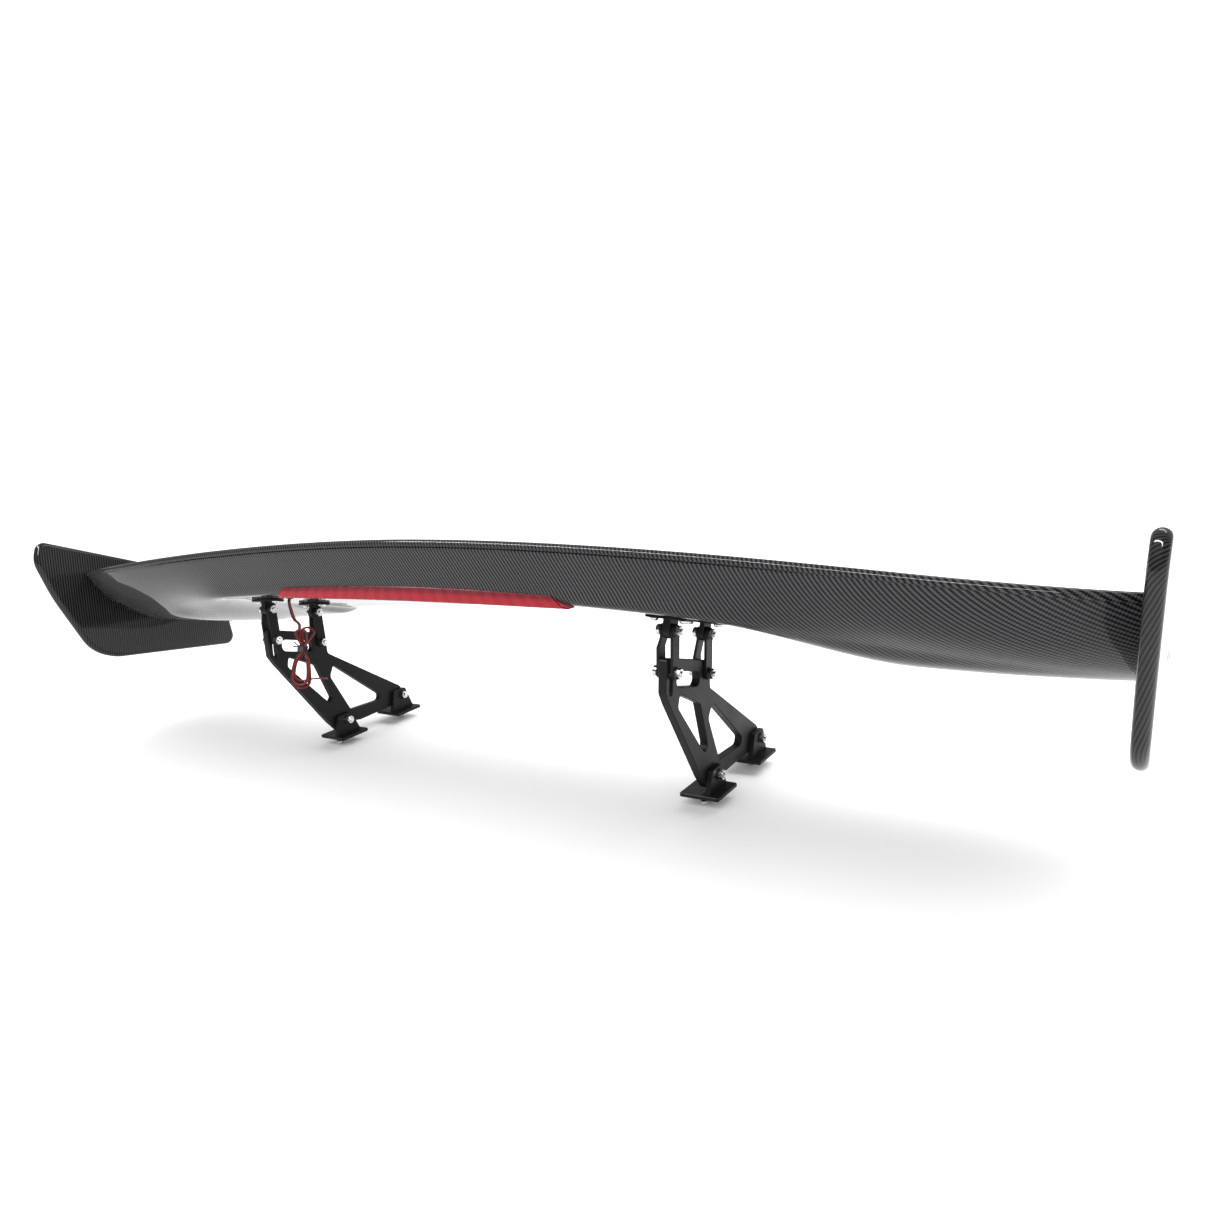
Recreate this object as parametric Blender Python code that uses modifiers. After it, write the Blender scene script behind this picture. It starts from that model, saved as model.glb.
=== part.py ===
"""Racing rear wing for a boot lid: blade, end plates, brake light and two adjustable stands.

Row frame: metres, +X to the right seen from behind, +Y forwards, +Z up.  The origin is
the middle of the wing's footprint, on the ground under the feet.  Helpers take mm.
"""
import math

import bmesh
import bpy
from mathutils import Matrix, Vector

MM = 0.001
GAP = 0.3                     # gap that touching pieces keep
FOOTPRINT_Y = 4.7             # middle of the footprint in the layout below, which is moved to zero

# blade
BLADE_END = 707.3             # half length of the blade at height END_HEIGHT
END_HEIGHT = 234.0
PLATE_TILT = 0.0782           # outward tilt of the end plates, as a slope
EDGE_Y = -115.3               # trailing edge at mid span
EDGE_Z = 311.3
ARCH = 50.0                   # how far the trailing edge falls at the tips
ARCH_POWER = 1.8
TIP_SWEEP = 36.0              # how far the trailing edge curls forward at the tips
SWEEP_START = 0.6             # share of the half span where that begins
LIP_RADIUS = 5.0
SKIN = 3.0                    # moulded wall
BELLY_START = 334.0           # the blade deepens between these distances from mid span
BELLY_END = 530.0
# how far the belly and nose rise off their plain line, by distance from mid span
BELLY_RISE = [(334.0, 0.0), (345.0, -2.5), (362.0, -8.0), (400.0, -11.0), (450.0, -14.0),
              (520.0, -13.0), (600.0, -2.0), (660.0, 8.0), (707.0, 14.0)]
PITCH = math.radians(16.2)    # slope of the underside over the stands

# stands, in each stand's own plane: (y, height)
STAND_X = 292.5               # half spacing of the stands at ground level
LEAN = math.radians(3.9)      # each stand leans outwards, square to the arched blade
PLATE_THICKNESS = 9.5
FRONT_LOW = (12.5, 149.2)
LINK_RISE = (2.0, 42.0)       # from a link's lower bolt to its upper bolt
REAR_LOW = (-59.5, 170.0)
SLOT_RANGE = math.radians(15.0)   # turn of the rear lower bolt along its slot; the joint uses 7 degrees
FOOT_PIVOTS = {"rear": (27.2, 31.5), "front": (135.0, 35.6)}
FOOT_BASES = {"rear": (24.0, 14.4), "front": (130.9, 15.8)}
GROUND_BOLTS = {"rear": 13.9, "front": 133.6}
BOLT_RADIUS = 2.9
HOLE_RADIUS = 3.3
HEX_RADIUS = 5.6
LINK_WIDTH = 14.0
LINK_THICKNESS = 3.0
LUG_RISE = 13.4               # bracket's top face above its bolt
JOGGLE = 4.0                  # how far each -X link steps in to its lug
# the rear links slide down the leaning frame as the blade tilts, so they clear it by more
CLASP = {"rear": PLATE_THICKNESS / 2.0 + 1.6, "front": PLATE_THICKNESS / 2.0 + GAP}
# heights of that step above the link's lower bolt; the rear one stays clear of the frame's top
JOGGLE_HEIGHTS = {"rear": (25.0, 36.0), "front": (17.0, 36.0)}
BRACKET_SCREW_X = 16.5
SIDES = {"left": -1, "right": 1}

# brake light
LIGHT_TOP = 205.5             # half length along the light's top edge
LIGHT_SLANT = 1.3             # how the ends widen downwards, mm per mm
LIGHT_TOP_Z = 257.0
LIGHT_SAG = 5.5               # how far its lower edge hangs at mid span

PLATE_OUTLINE = [
    (-147.0, 290.0), (-135.0, 319.5), (141.0, 210.0), (147.0, 91.5), (-60.0, 121.0),
    (-96.0, 137.0), (-133.0, 232.0),
]
PLATE_CORNERS = [40.0, 13.0, 30.0, 15.0, 60.0, 60.0, 300.0]
PLATE_SCREWS = [(48.0, 183.0), (96.0, 170.0)]

FRAME_OUTLINE = [
    (-69.0, 187.0), (21.5, 160.5), (20.7, 131.0), (138.0, 49.0), (150.0, 30.0), (133.0, 20.0),
    (113.0, 23.6), (54.0, 22.6), (41.0, 25.0), (27.0, 16.6), (13.0, 18.5), (-1.5, 37.0),
    (-65.3, 138.0), (-72.0, 151.0),
]
FRAME_CORNERS = [4.0, 9.0, 6.0, 8.0, 12.0, 9.0, 6.0, 8.0, 8.0, 14.0, 12.0, 10.0, 8.0, 8.0]
FRAME_WINDOWS = {
    "upper": ([(-50.0, 169.0), (-2.5, 155.0), (-2.5, 139.2), (-50.0, 152.6)], [6.5, 6.0, 6.5, 6.5]),
    "narrow": ([(-44.0, 143.0), (-2.0, 120.0), (13.5, 69.0), (6.5, 62.0), (-48.0, 130.0)],
               [4.0, 6.0, 4.0, 4.0, 6.0]),
    "wide": ([(26.0, 113.0), (98.0, 48.0), (95.0, 39.6), (40.5, 42.0), (16.5, 98.0)],
             [4.0, 5.0, 6.0, 4.0, 8.0]),
}

LEAD_EXIT = (-239.5, -70.0)   # where the lamp lead leaves the blade's underside
LEAD_DIAMETER = 2.8
HANK_TOP = (-232.0, -61.0, 192.0)
HANK_BOTTOM = (-241.2, -77.1, 111.8)
HANK_FACING = (0.82, 0.57, 0.0)   # the direction that the hank's loops are wide in
HANK_WIDTH = 22.0
HANK_DEPTH = 12.0


# ---------------------------------------------------------------- scene helpers

def clear_scene():
    for item in list(bpy.data.objects):
        bpy.data.objects.remove(item, do_unlink=True)


def new_collection(name):
    collection = bpy.data.collections.new(name)
    bpy.context.scene.collection.children.link(collection)
    return collection


def make_material(name, colour, roughness, metallic):
    material = bpy.data.materials.new(name)
    material.use_nodes = True
    shader = material.node_tree.nodes["Principled BSDF"]
    shader.inputs["Base Color"].default_value = (*colour, 1.0)
    shader.inputs["Roughness"].default_value = roughness
    shader.inputs["Metallic"].default_value = metallic
    material.diffuse_color = (*colour, 1.0)
    return material


def carbon_material(name):
    return make_material(name, (0.035, 0.036, 0.040), 0.15, 0.0)


def black_metal(name):
    return make_material(name, (0.018, 0.018, 0.020), 0.42, 1.0)


def bright_metal(name):
    return make_material(name, (0.78, 0.78, 0.76), 0.18, 1.0)


def black_plastic(name):
    return make_material(name, (0.012, 0.012, 0.013), 0.5, 0.0)


def place(item, collection, material):
    """Move an object into a collection and give it its own material."""
    for owner in list(item.users_collection):
        owner.objects.unlink(item)
    collection.objects.link(item)
    if material is not None:
        item.data.materials.clear()
        item.data.materials.append(material)
    return item


def mesh_object(name, builder, collection, material):
    mesh = bpy.data.meshes.new(name)
    builder.normal_update()
    builder.to_mesh(mesh)
    builder.free()
    item = bpy.data.objects.new(name, mesh)
    return place(item, collection, material)


def curve_to_mesh(item, collection, material):
    """Turn a curve into a welded mesh of the same name and remove the curve."""
    bpy.context.scene.collection.objects.link(item)
    bpy.context.view_layer.update()
    name = item.name
    matrix = item.matrix_world.copy()
    depsgraph = bpy.context.evaluated_depsgraph_get()
    mesh = bpy.data.meshes.new_from_object(item.evaluated_get(depsgraph))
    bpy.data.objects.remove(item, do_unlink=True)
    builder = bmesh.new()
    builder.from_mesh(mesh)
    bmesh.ops.remove_doubles(builder, verts=builder.verts, dist=0.00002)
    bmesh.ops.recalc_face_normals(builder, faces=builder.faces)
    builder.to_mesh(mesh)
    builder.free()
    mesh.name = name
    solid = bpy.data.objects.new(name, mesh)
    solid.matrix_world = matrix
    return place(solid, collection, material)


def single_faces(item):
    """Merge each flat side of a slab into one face, so that its rim bevels evenly."""
    builder = bmesh.new()
    builder.from_mesh(item.data)
    bmesh.ops.dissolve_limit(builder, angle_limit=math.radians(0.5), verts=builder.verts,
                             edges=builder.edges)
    builder.to_mesh(item.data)
    builder.free()


def cut(item, cutters, operation="DIFFERENCE"):
    for cutter in cutters:
        step = item.modifiers.new("Cut " + cutter.name, "BOOLEAN")
        step.operation = operation
        step.solver = "EXACT"
        step.object = cutter


def as_guide(item):
    item.hide_render = True
    item.display_type = "WIRE"
    return item


def join_to(children, empty):
    """Parent objects to an empty without moving them."""
    bpy.context.view_layer.update()
    for child in children:
        child.parent = empty
        child.matrix_parent_inverse = empty.matrix_world.inverted()


def joint_empty(name, point, collection):
    empty = bpy.data.objects.new(name, None)
    empty.empty_display_size = 0.03
    empty.location = Vector(point) * MM
    collection.objects.link(empty)
    bpy.context.view_layer.update()
    return empty


# ---------------------------------------------------------------- outlines

def rounded(points, radii, steps=4):
    """A closed outline whose corners are replaced by arcs."""
    outline = []
    count = len(points)
    for index, radius in enumerate(radii):
        corner = Vector(points[index])
        back = (Vector(points[index - 1]) - corner).normalized()
        ahead = (Vector(points[(index + 1) % count]) - corner).normalized()
        half = back.angle(ahead) / 2.0
        reach = radius / math.tan(half)
        centre = corner + (back + ahead).normalized() * (radius / math.sin(half))
        start = corner + back * reach - centre
        end = corner + ahead * reach - centre
        turn = start.angle_signed(end)
        for step in range(steps + 1):
            angle = -turn * step / steps
            spun = Vector((start.x * math.cos(angle) - start.y * math.sin(angle),
                           start.x * math.sin(angle) + start.y * math.cos(angle)))
            outline.append(tuple(centre + spun))
    return outline


def circle(centre, radius, steps=12, phase=0.0):
    turn = 2.0 * math.pi / steps
    return [(centre[0] + radius * math.cos(turn * k + phase),
             centre[1] + radius * math.sin(turn * k + phase)) for k in range(steps)]


def capsule(start, end, radius, steps=6):
    """Outline of a straight bar with round ends."""
    along = math.atan2(end[1] - start[1], end[0] - start[0])
    outline = []
    for centre, first in ((end, along - math.pi / 2.0), (start, along + math.pi / 2.0)):
        for k in range(steps + 1):
            angle = first + math.pi * k / steps
            outline.append((centre[0] + radius * math.cos(angle),
                            centre[1] + radius * math.sin(angle)))
    return outline


# turns a flat outline in XY into one in YZ that is thick along X
UPRIGHT = Matrix(((0, 0, 1, 0), (1, 0, 0, 0), (0, 1, 0, 0), (0, 0, 0, 1)))


def slab(name, loops, thickness, matrix, collection, material):
    """A flat plate from closed loops; the inner loops become holes."""
    curve = bpy.data.curves.new(name, "CURVE")
    curve.dimensions = "2D"
    curve.fill_mode = "BOTH"
    curve.extrude = thickness * MM / 2.0
    for loop in loops:
        spline = curve.splines.new("POLY")
        spline.points.add(len(loop) - 1)
        for point, (u, v) in zip(spline.points, loop):
            point.co = (u * MM, v * MM, 0.0, 1.0)
        spline.use_cyclic_u = True
    item = bpy.data.objects.new(name, curve)
    item.matrix_world = matrix @ UPRIGHT
    return curve_to_mesh(item, collection, material)


def box(name, centre, size, matrix, collection, material):
    builder = bmesh.new()
    scale = Matrix.Diagonal((size[0] * MM, size[1] * MM, size[2] * MM, 1.0))
    move = Matrix.Translation(Vector(centre) * MM)
    bmesh.ops.create_cube(builder, size=1.0, matrix=matrix @ move @ scale)
    return mesh_object(name, builder, collection, material)


def rod_cutter(name, centre, radius, length, matrix, collection, sides=12):
    """A closed cylinder along local Z, used to cut a hole."""
    builder = bmesh.new()
    move = Matrix.Translation(Vector(centre) * MM)
    bmesh.ops.create_cone(builder, cap_ends=True, segments=sides, radius1=radius * MM,
                          radius2=radius * MM, depth=length * MM, matrix=matrix @ move)
    return as_guide(mesh_object(name, builder, collection, None))


def hex_fastener(name, profile, matrix, collection, sides=6):
    """A turned profile of (radius, height) pairs from top to bottom, about local Z."""
    mesh = bpy.data.meshes.new(name)
    points = [(radius * MM, 0.0, height * MM) for radius, height in profile]
    edges = [(k, k + 1) for k in range(len(points) - 1)]
    mesh.from_pydata(points, edges, [])
    item = bpy.data.objects.new(name, mesh)
    item.matrix_world = matrix
    place(item, collection, bright_metal(name))
    turned = item.modifiers.new("Turn", "SCREW")
    turned.axis = "Z"
    turned.steps = sides
    turned.render_steps = sides
    turned.use_merge_vertices = True
    turned.merge_threshold = 0.00001
    turned.use_smooth_shade = False
    return item


# ---------------------------------------------------------------- blade shape

def blend(low, high, value):
    t = min(max((value - low) / (high - low), 0.0), 1.0)
    return t * t * (3.0 - 2.0 * t)


def mix(a, b, t):
    return a + (b - a) * t


def arch_drop(x):
    return ARCH * (abs(x) / 710.0) ** ARCH_POWER


def edge_sweep(x):
    return TIP_SWEEP * max((abs(x) / 710.0 - SWEEP_START) / (1.0 - SWEEP_START), 0.0) ** 3.5


def underside(y):
    """Height of the flat underside over the stands, before the arch drop."""
    return 235.9 - math.tan(PITCH) * (y + 53.7)


def catmull(points, steps):
    out = []
    last = len(points) - 1
    for i in range(last):
        p0 = points[max(i - 1, 0)]
        p1 = points[i]
        p2 = points[i + 1]
        p3 = points[min(i + 2, last)]
        for k in range(steps):
            t = k / steps
            out.append(tuple(
                0.5 * (2 * p1[c] + (p2[c] - p0[c]) * t
                       + (2 * p0[c] - 5 * p1[c] + 4 * p2[c] - p3[c]) * t * t
                       + (3 * p1[c] - p0[c] - 3 * p2[c] + p3[c]) * t ** 3) for c in (0, 1)))
    out.append(points[-1])
    return out


def belly_rise(x):
    """Read the belly's rise at x from a smooth curve through its table."""
    known = catmull(BELLY_RISE, 6)
    for (x0, rise0), (x1, rise1) in zip(known, known[1:]):
        if abs(x) <= x1:
            return mix(rise0, rise1, max(abs(x) - x0, 0.0) / (x1 - x0))
    return known[-1][1]


def blade_section(x):
    """Closed section at distance x from mid span, as (y, z): tail, belly, nose, top, lip."""
    deep = blend(BELLY_START, BELLY_END, abs(x))
    tail_y = EDGE_Y + edge_sweep(x)
    tail = [(1.5, -12, 4, -12), (4.5, -24, 14, -30), (10, -44, 34, -54), (15.8, -61, 64, -78)]
    points = [(tail_y + mix(a, c, deep), EDGE_Z + mix(b, d, deep)) for a, b, c, d in tail]
    rise = belly_rise(x)
    points.append((mix(-75.0, tail_y + 101.0, deep),
                   mix(underside(-75.0), 212.0, deep) + 0.4 * deep * rise))
    for mid_y, tip_y, tip_z, share in ((-20.0, 74.0, 198.5, 0.0), (50.0, 106.0, 192.0, 0.6)):
        points.append((mix(mid_y, tip_y, deep),
                       mix(underside(mid_y), tip_z, deep) + mix(share, 1.0, deep) * rise))
    nose = [(118, 187.5, 130, 196, 1.0), (140, 195, 139, 207, 0.6), (128, 213, 127, 222, 0.2),
            (70, 236, 80, 238, 0.0), (0, 252, 30, 254, 0.0)]
    points += [(mix(a, c, deep), mix(b, d, deep) + share * rise) for a, b, c, d, share in nose]
    upper = [(60, 268, 42, 274), (30, 288, 20, 294), (13, EDGE_Z - 7, 9.5, EDGE_Z - 7)]
    points += [(tail_y + mix(a, c, deep), mix(b, d, deep)) for a, b, c, d in upper]
    lip = []
    for degrees in (0, 45, 90, 135, 180, 215):
        angle = math.radians(degrees)
        lip.append((tail_y + LIP_RADIUS * (1.0 + math.cos(angle)),
                    EDGE_Z + LIP_RADIUS * (math.sin(angle) - 1.0)))
    return [(y, z - arch_drop(x)) for y, z in catmull(points, 2) + lip]


def span_point(share, y, z):
    """A point at a share of the half span; the tips lie along the tilted end plates."""
    return Vector((share * (BLADE_END + PLATE_TILT * (z - END_HEIGHT)), y, z)) * MM


def loft(name, rings, closed_ends, collection, material):
    """Join rings of equal length with quads, and cap the ends if asked."""
    builder = bmesh.new()
    rows = [[builder.verts.new(point) for point in ring] for ring in rings]
    count = len(rows[0])
    for row, following in zip(rows, rows[1:]):
        for k in range(count):
            m = (k + 1) % count
            builder.faces.new((row[k], row[m], following[m], following[k]))
    if closed_ends:
        builder.faces.new(rows[0][::-1])
        builder.faces.new(rows[-1])
    bmesh.ops.recalc_face_normals(builder, faces=builder.faces)
    return mesh_object(name, builder, collection, material)


def plate_tilt(sign, x):
    """Frame of an end plate: x measured outwards from the blade's end on either side."""
    pivot = Matrix.Translation(Vector((sign * (BLADE_END + x), 0.0, END_HEIGHT)) * MM)
    tilt = pivot @ Matrix.Rotation(sign * math.atan(PLATE_TILT), 4, "Y")
    return tilt @ Matrix.Translation((0.0, 0.0, -END_HEIGHT * MM))


def make_blade(parts, cutters):
    stations = 26
    overrun = 1.006                     # moulded over length, then trimmed square
    shares = [overrun * (2.0 * k / stations - 1.0) for k in range(stations + 1)]
    rings = [[span_point(s, y, z) for y, z in blade_section(s * BLADE_END)] for s in shares]
    blade = loft("wing_blade", rings, False, parts, carbon_material("wing_blade"))
    middle = sum((v.co for v in blade.data.vertices), Vector()) / len(blade.data.vertices)
    face = max(blade.data.polygons, key=lambda polygon: polygon.center.z)
    if face.normal.dot(face.center - middle) < 0.0:
        blade.data.flip_normals()
    skin = blade.modifiers.new("Moulded wall", "SOLIDIFY")
    skin.thickness = SKIN * MM
    skin.offset = -1.0
    skin.use_even_offset = True
    for side, sign in SIDES.items():
        trim = box(side + "_end_trim", (sign * 20.0, 0.0, END_HEIGHT), (40.0, 400.0, 300.0),
                   plate_tilt(sign, 0.0), cutters, None)
        cut(blade, [as_guide(trim)])
    return blade


def make_end_plate(side, sign, parts, cutters):
    thickness = 13.0
    matrix = plate_tilt(sign, GAP + thickness / 2.0)
    outline = rounded(PLATE_OUTLINE, PLATE_CORNERS)
    name = side + "_end_plate"
    plate = slab(name, [outline], thickness, matrix, parts, carbon_material(name))
    single_faces(plate)
    rim = plate.modifiers.new("Round rim", "BEVEL")
    rim.width = 5.2 * MM
    rim.segments = 2
    rim.limit_method = "ANGLE"
    rim.angle_limit = math.radians(60.0)
    screws = []
    for index, (y, z) in enumerate(PLATE_SCREWS):
        cutters_name = "%s_plate_hole_%d" % (side, index)
        along = matrix @ Matrix.Rotation(math.radians(90.0), 4, "Y")
        hole = rod_cutter(cutters_name, (-z, y, 0.0), 2.6, 60.0, along, cutters)
        cut(plate, [hole])
        # local +Z points outboard
        outward = matrix @ Matrix.Translation(Vector((0.0, y, z)) * MM)
        outward = outward @ Matrix.Rotation(sign * math.radians(90.0), 4, "Y")
        head = thickness / 2.0 + GAP
        profile = [(0.0, head + 3.0), (4.0, head + 3.0), (4.8, head), (2.2, head),
                   (2.2, -16.0), (0.0, -16.0)]
        label = "%s_end_plate_screw_%s" % (side, ("rear", "front")[index])
        screws.append(hex_fastener(label, profile, outward, parts, 8))
    name = side + "_end_rib"
    rib_outline = [(118, 165), (96, 163), (62, 169.5), (34, 178), (26, 190), (42, 193.5),
                   (84, 180.5), (114, 173)]
    inset = Matrix.Translation((-sign * (thickness / 2.0 + GAP + 6.0) * MM, 0.0, 0.0))
    rib = slab(name, [rib_outline] + [circle(spot, 2.6) for spot in PLATE_SCREWS],
               12.0, matrix @ inset, parts, black_plastic(name))
    return [plate, rib] + screws


# ---------------------------------------------------------------- brake light

def light_ring(share, profile, grow):
    """The light's profile at a share of its half length, following the blade's arch."""
    ring = []
    for y, z, hang in profile:
        half = LIGHT_TOP + LIGHT_SLANT * (LIGHT_TOP_Z - z) + grow
        x = share * half
        sag = LIGHT_SAG * hang * (1.0 - 0.8 * (x / 230.0) ** 2)
        ring.append(Vector((x, y, z - sag - arch_drop(x))) * MM)
    return ring


def light_piece(name, profile, grow, collection, material):
    stations = 12
    rings = [light_ring(2.0 * k / stations - 1.0, profile, grow) for k in range(stations + 1)]
    return loft(name, rings, True, collection, material)


def make_brake_light(blade, parts, cutters):
    recess = [(-125.0, 258.4, 0.0), (-125.0, 234.0, 0.0), (-87.0, 234.0, 0.0), (-87.0, 258.4, 0.0)]
    cut(blade, [as_guide(light_piece("light_recess", recess, 0.4, cutters, None))])
    lens = [(-103.9, 258.0, 0.0), (-104.9, 252.0, 0.6), (-102.4, 247.4, 1.0), (-97.0, 245.6, 1.0),
            (-87.4, 244.8, 0.4), (-87.4, 248.0, 0.0), (-96.4, 251.6, 0.0), (-98.4, 258.0, 0.0)]
    red = make_material("brake_light_lens", (0.55, 0.02, 0.03), 0.2, 0.0)
    pieces = [light_piece("brake_light_lens", lens, 0.0, parts, red)]
    board = [(-97.4, 256.4, 0.0), (-95.9, 252.2, 0.0), (-94.6, 252.2, 0.0), (-94.6, 256.4, 0.0)]
    green = make_material("brake_light_board", (0.03, 0.16, 0.06), 0.5, 0.0)
    pieces.append(light_piece("brake_light_board", board, -6.0, parts, green))
    tray = [(-94.2, 258.0, 0.0), (-94.2, 251.2, 0.0), (-87.4, 248.5, 0.0), (-87.4, 258.0, 0.0)]
    name = "brake_light_tray"
    pieces.append(light_piece(name, tray, 0.0, parts, black_plastic(name)))
    return pieces


# ---------------------------------------------------------------- stands

def stand_matrix(sign):
    """Stand frame: x across the plate, y forwards, z up along the leaning plate."""
    move = Matrix.Translation((sign * STAND_X * MM, 0.0, 0.0))
    return move @ Matrix.Rotation(sign * LEAN, 4, "Y")


def turned_about(centre, point, angle):
    """Turn a (y, z) point about a centre, nose up for a positive angle."""
    dy = point[0] - centre[0]
    dz = point[1] - centre[1]
    return (centre[0] + dy * math.cos(angle) - dz * math.sin(angle),
            centre[1] + dy * math.sin(angle) + dz * math.cos(angle))


def slot_outline():
    """Arc slot about the front lower bolt, which the rear lower bolt slides in."""
    steps = 5
    path = [turned_about(FRONT_LOW, REAR_LOW, SLOT_RANGE * k / steps)
            for k in range(steps + 1)]
    centre = Vector(FRONT_LOW)
    arms = [(Vector(point) - centre) for point in path]
    outer = [tuple(centre + arm * (1.0 + HOLE_RADIUS / arm.length)) for arm in arms]
    inner = [tuple(centre + arm * (1.0 - HOLE_RADIUS / arm.length)) for arm in arms]
    top = circle(path[0], HOLE_RADIUS, 12)
    bottom = circle(path[-1], HOLE_RADIUS, 12)
    crown = sorted((p for p in top if p[1] > path[0][1] + 1.0), key=lambda p: -p[0])
    base = sorted((p for p in bottom if p[1] < path[-1][1] - 1.0), key=lambda p: p[0])
    return crown + outer + base + inner[::-1]


def make_frame(side, sign, parts):
    loops = [rounded(FRAME_OUTLINE, FRAME_CORNERS)]
    loops += [rounded(points, radii, 3) for points, radii in FRAME_WINDOWS.values()]
    loops.append(slot_outline())
    loops.append(circle(FRONT_LOW, HOLE_RADIUS))
    loops += [circle(pivot, HOLE_RADIUS) for pivot in FOOT_PIVOTS.values()]
    name = side + "_stand_frame"
    return slab(name, loops, PLATE_THICKNESS, stand_matrix(sign), parts, black_metal(name))


def above(point):
    return (point[0] + LINK_RISE[0], point[1] + LINK_RISE[1])


def joggle(link, low_z, high_z):
    """Step a link sideways towards +X between two heights."""
    builder = bmesh.new()
    builder.from_mesh(link.data)
    # the slab's own axes: y is the height, z is across its thickness
    for height in (low_z, high_z):
        everything = builder.verts[:] + builder.edges[:] + builder.faces[:]
        bmesh.ops.bisect_plane(builder, geom=everything, plane_co=(0.0, height * MM, 0.0),
                               plane_no=(0.0, 1.0, 0.0), dist=0.00001)
    for vert in builder.verts:
        if vert.co.y > (high_z - 0.1) * MM:
            vert.co.z += JOGGLE * MM
    builder.to_mesh(link.data)
    builder.free()


def make_links(side, sign, place_name, low, parts):
    """The two flat links that clasp the frame and the bracket's lug."""
    links = []
    reach = CLASP[place_name] + LINK_THICKNESS / 2.0
    for face, offset in (("inner", -sign * reach), ("outer", sign * reach)):
        matrix = stand_matrix(sign) @ Matrix.Translation((offset * MM, 0.0, 0.0))
        loops = [capsule(low, above(low), LINK_WIDTH / 2.0), circle(low, HOLE_RADIUS, 10),
                 circle(above(low), HOLE_RADIUS, 10)]
        name = "%s_%s_link_%s" % (side, place_name, face)
        link = slab(name, loops, LINK_THICKNESS, matrix, parts, black_metal(name))
        if offset < 0.0:
            first, last = JOGGLE_HEIGHTS[place_name]
            joggle(link, low[1] + first, low[1] + last)
        links.append(link)
    return links


def cross_bolt(name, sign, point, left, right, parts):
    """Hex bolt across a stand: head on the -X side, nut on the +X side."""
    matrix = stand_matrix(sign) @ Matrix.Translation((0.0, point[0] * MM, point[1] * MM))
    matrix = matrix @ Matrix.Rotation(math.radians(90.0), 4, "Y")
    profile = [(0.0, right + 7.2), (BOLT_RADIUS, right + 7.2), (BOLT_RADIUS, right + 5.4),
               (HEX_RADIUS, right + 5.4), (HEX_RADIUS, right + GAP), (BOLT_RADIUS, right + GAP),
               (BOLT_RADIUS, left - GAP), (HEX_RADIUS, left - GAP), (HEX_RADIUS, left - 6.0),
               (0.0, left - 6.0)]
    return hex_fastener(name, profile, matrix, parts)


def bracket_matrix(sign, low):
    """Bracket frame at the upper bolt: z square to the blade's underside."""
    high = above(low)
    matrix = stand_matrix(sign) @ Matrix.Translation((0.0, high[0] * MM, high[1] * MM))
    return matrix @ Matrix.Rotation(-PITCH, 4, "X")


def make_bracket(side, sign, place_name, low, parts, cutters):
    """Foot plate under the blade with the lug that the links clasp, and its two screws."""
    matrix = bracket_matrix(sign, low)
    name = "%s_%s_bracket" % (side, place_name)
    base_z = LUG_RISE - 1.5
    base = box(name, (0.0, 0.0, base_z), (45.0, 20.0, 3.0), matrix, parts, black_metal(name))
    lug_outline = [p for p in circle((0.0, 0.0), 8.0, 16, math.pi) if p[1] <= 0.01]
    lug_outline += [(8.0, LUG_RISE - 1.0), (-8.0, LUG_RISE - 1.0)]
    aside = matrix @ Matrix.Translation((JOGGLE / 2.0 * MM, 0.0, 0.0))
    thickness = 2.0 * (CLASP[place_name] - GAP) - JOGGLE
    lug = slab(name + "_lug", [lug_outline, circle((0.0, 0.0), HOLE_RADIUS)], thickness,
               aside, cutters, None)
    cut(base, [as_guide(lug)], "UNION")
    screws = []
    holes = []
    for index, x in enumerate((-BRACKET_SCREW_X, BRACKET_SCREW_X)):
        hole_name = "%s_hole_%d" % (name, index)
        holes.append(rod_cutter(hole_name, (x, 0.0, LUG_RISE), 2.6, 26.0, matrix, cutters, 10))
        outer = (index == 1) == (sign > 0)
        label = "%s_screw_%s" % (name, "outer" if outer else "inner")
        down = LUG_RISE - 3.0 - GAP
        profile = [(0.0, LUG_RISE + 9.5), (2.2, LUG_RISE + 9.5), (2.2, down), (4.6, down),
                   (4.2, down - 2.6), (0.0, down - 2.6)]
        turned = matrix @ Matrix.Translation((x * MM, 0.0, 0.0))
        screws.append(hex_fastener(label, profile, turned, parts, 8))
    cut(base, holes)
    return base, screws, holes


def make_backing_plate(side, sign, holes, parts):
    """Threaded plate inside the blade that takes one stand's four screws."""
    rear = Vector(above(REAR_LOW))
    front = Vector(above(FRONT_LOW))
    middle = (rear + front) / 2.0
    matrix = stand_matrix(sign) @ Matrix.Translation((0.0, middle.x * MM, middle.y * MM))
    matrix = matrix @ Matrix.Rotation(-PITCH, 4, "X")
    lift = LUG_RISE + 0.35 + SKIN + 0.5 + 1.5
    name = side + "_backing_plate"
    plate = box(name, (0.0, 2.0, lift), (44.0, 96.0, 3.0), matrix, parts, black_metal(name))
    cut(plate, holes)
    return plate


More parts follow.
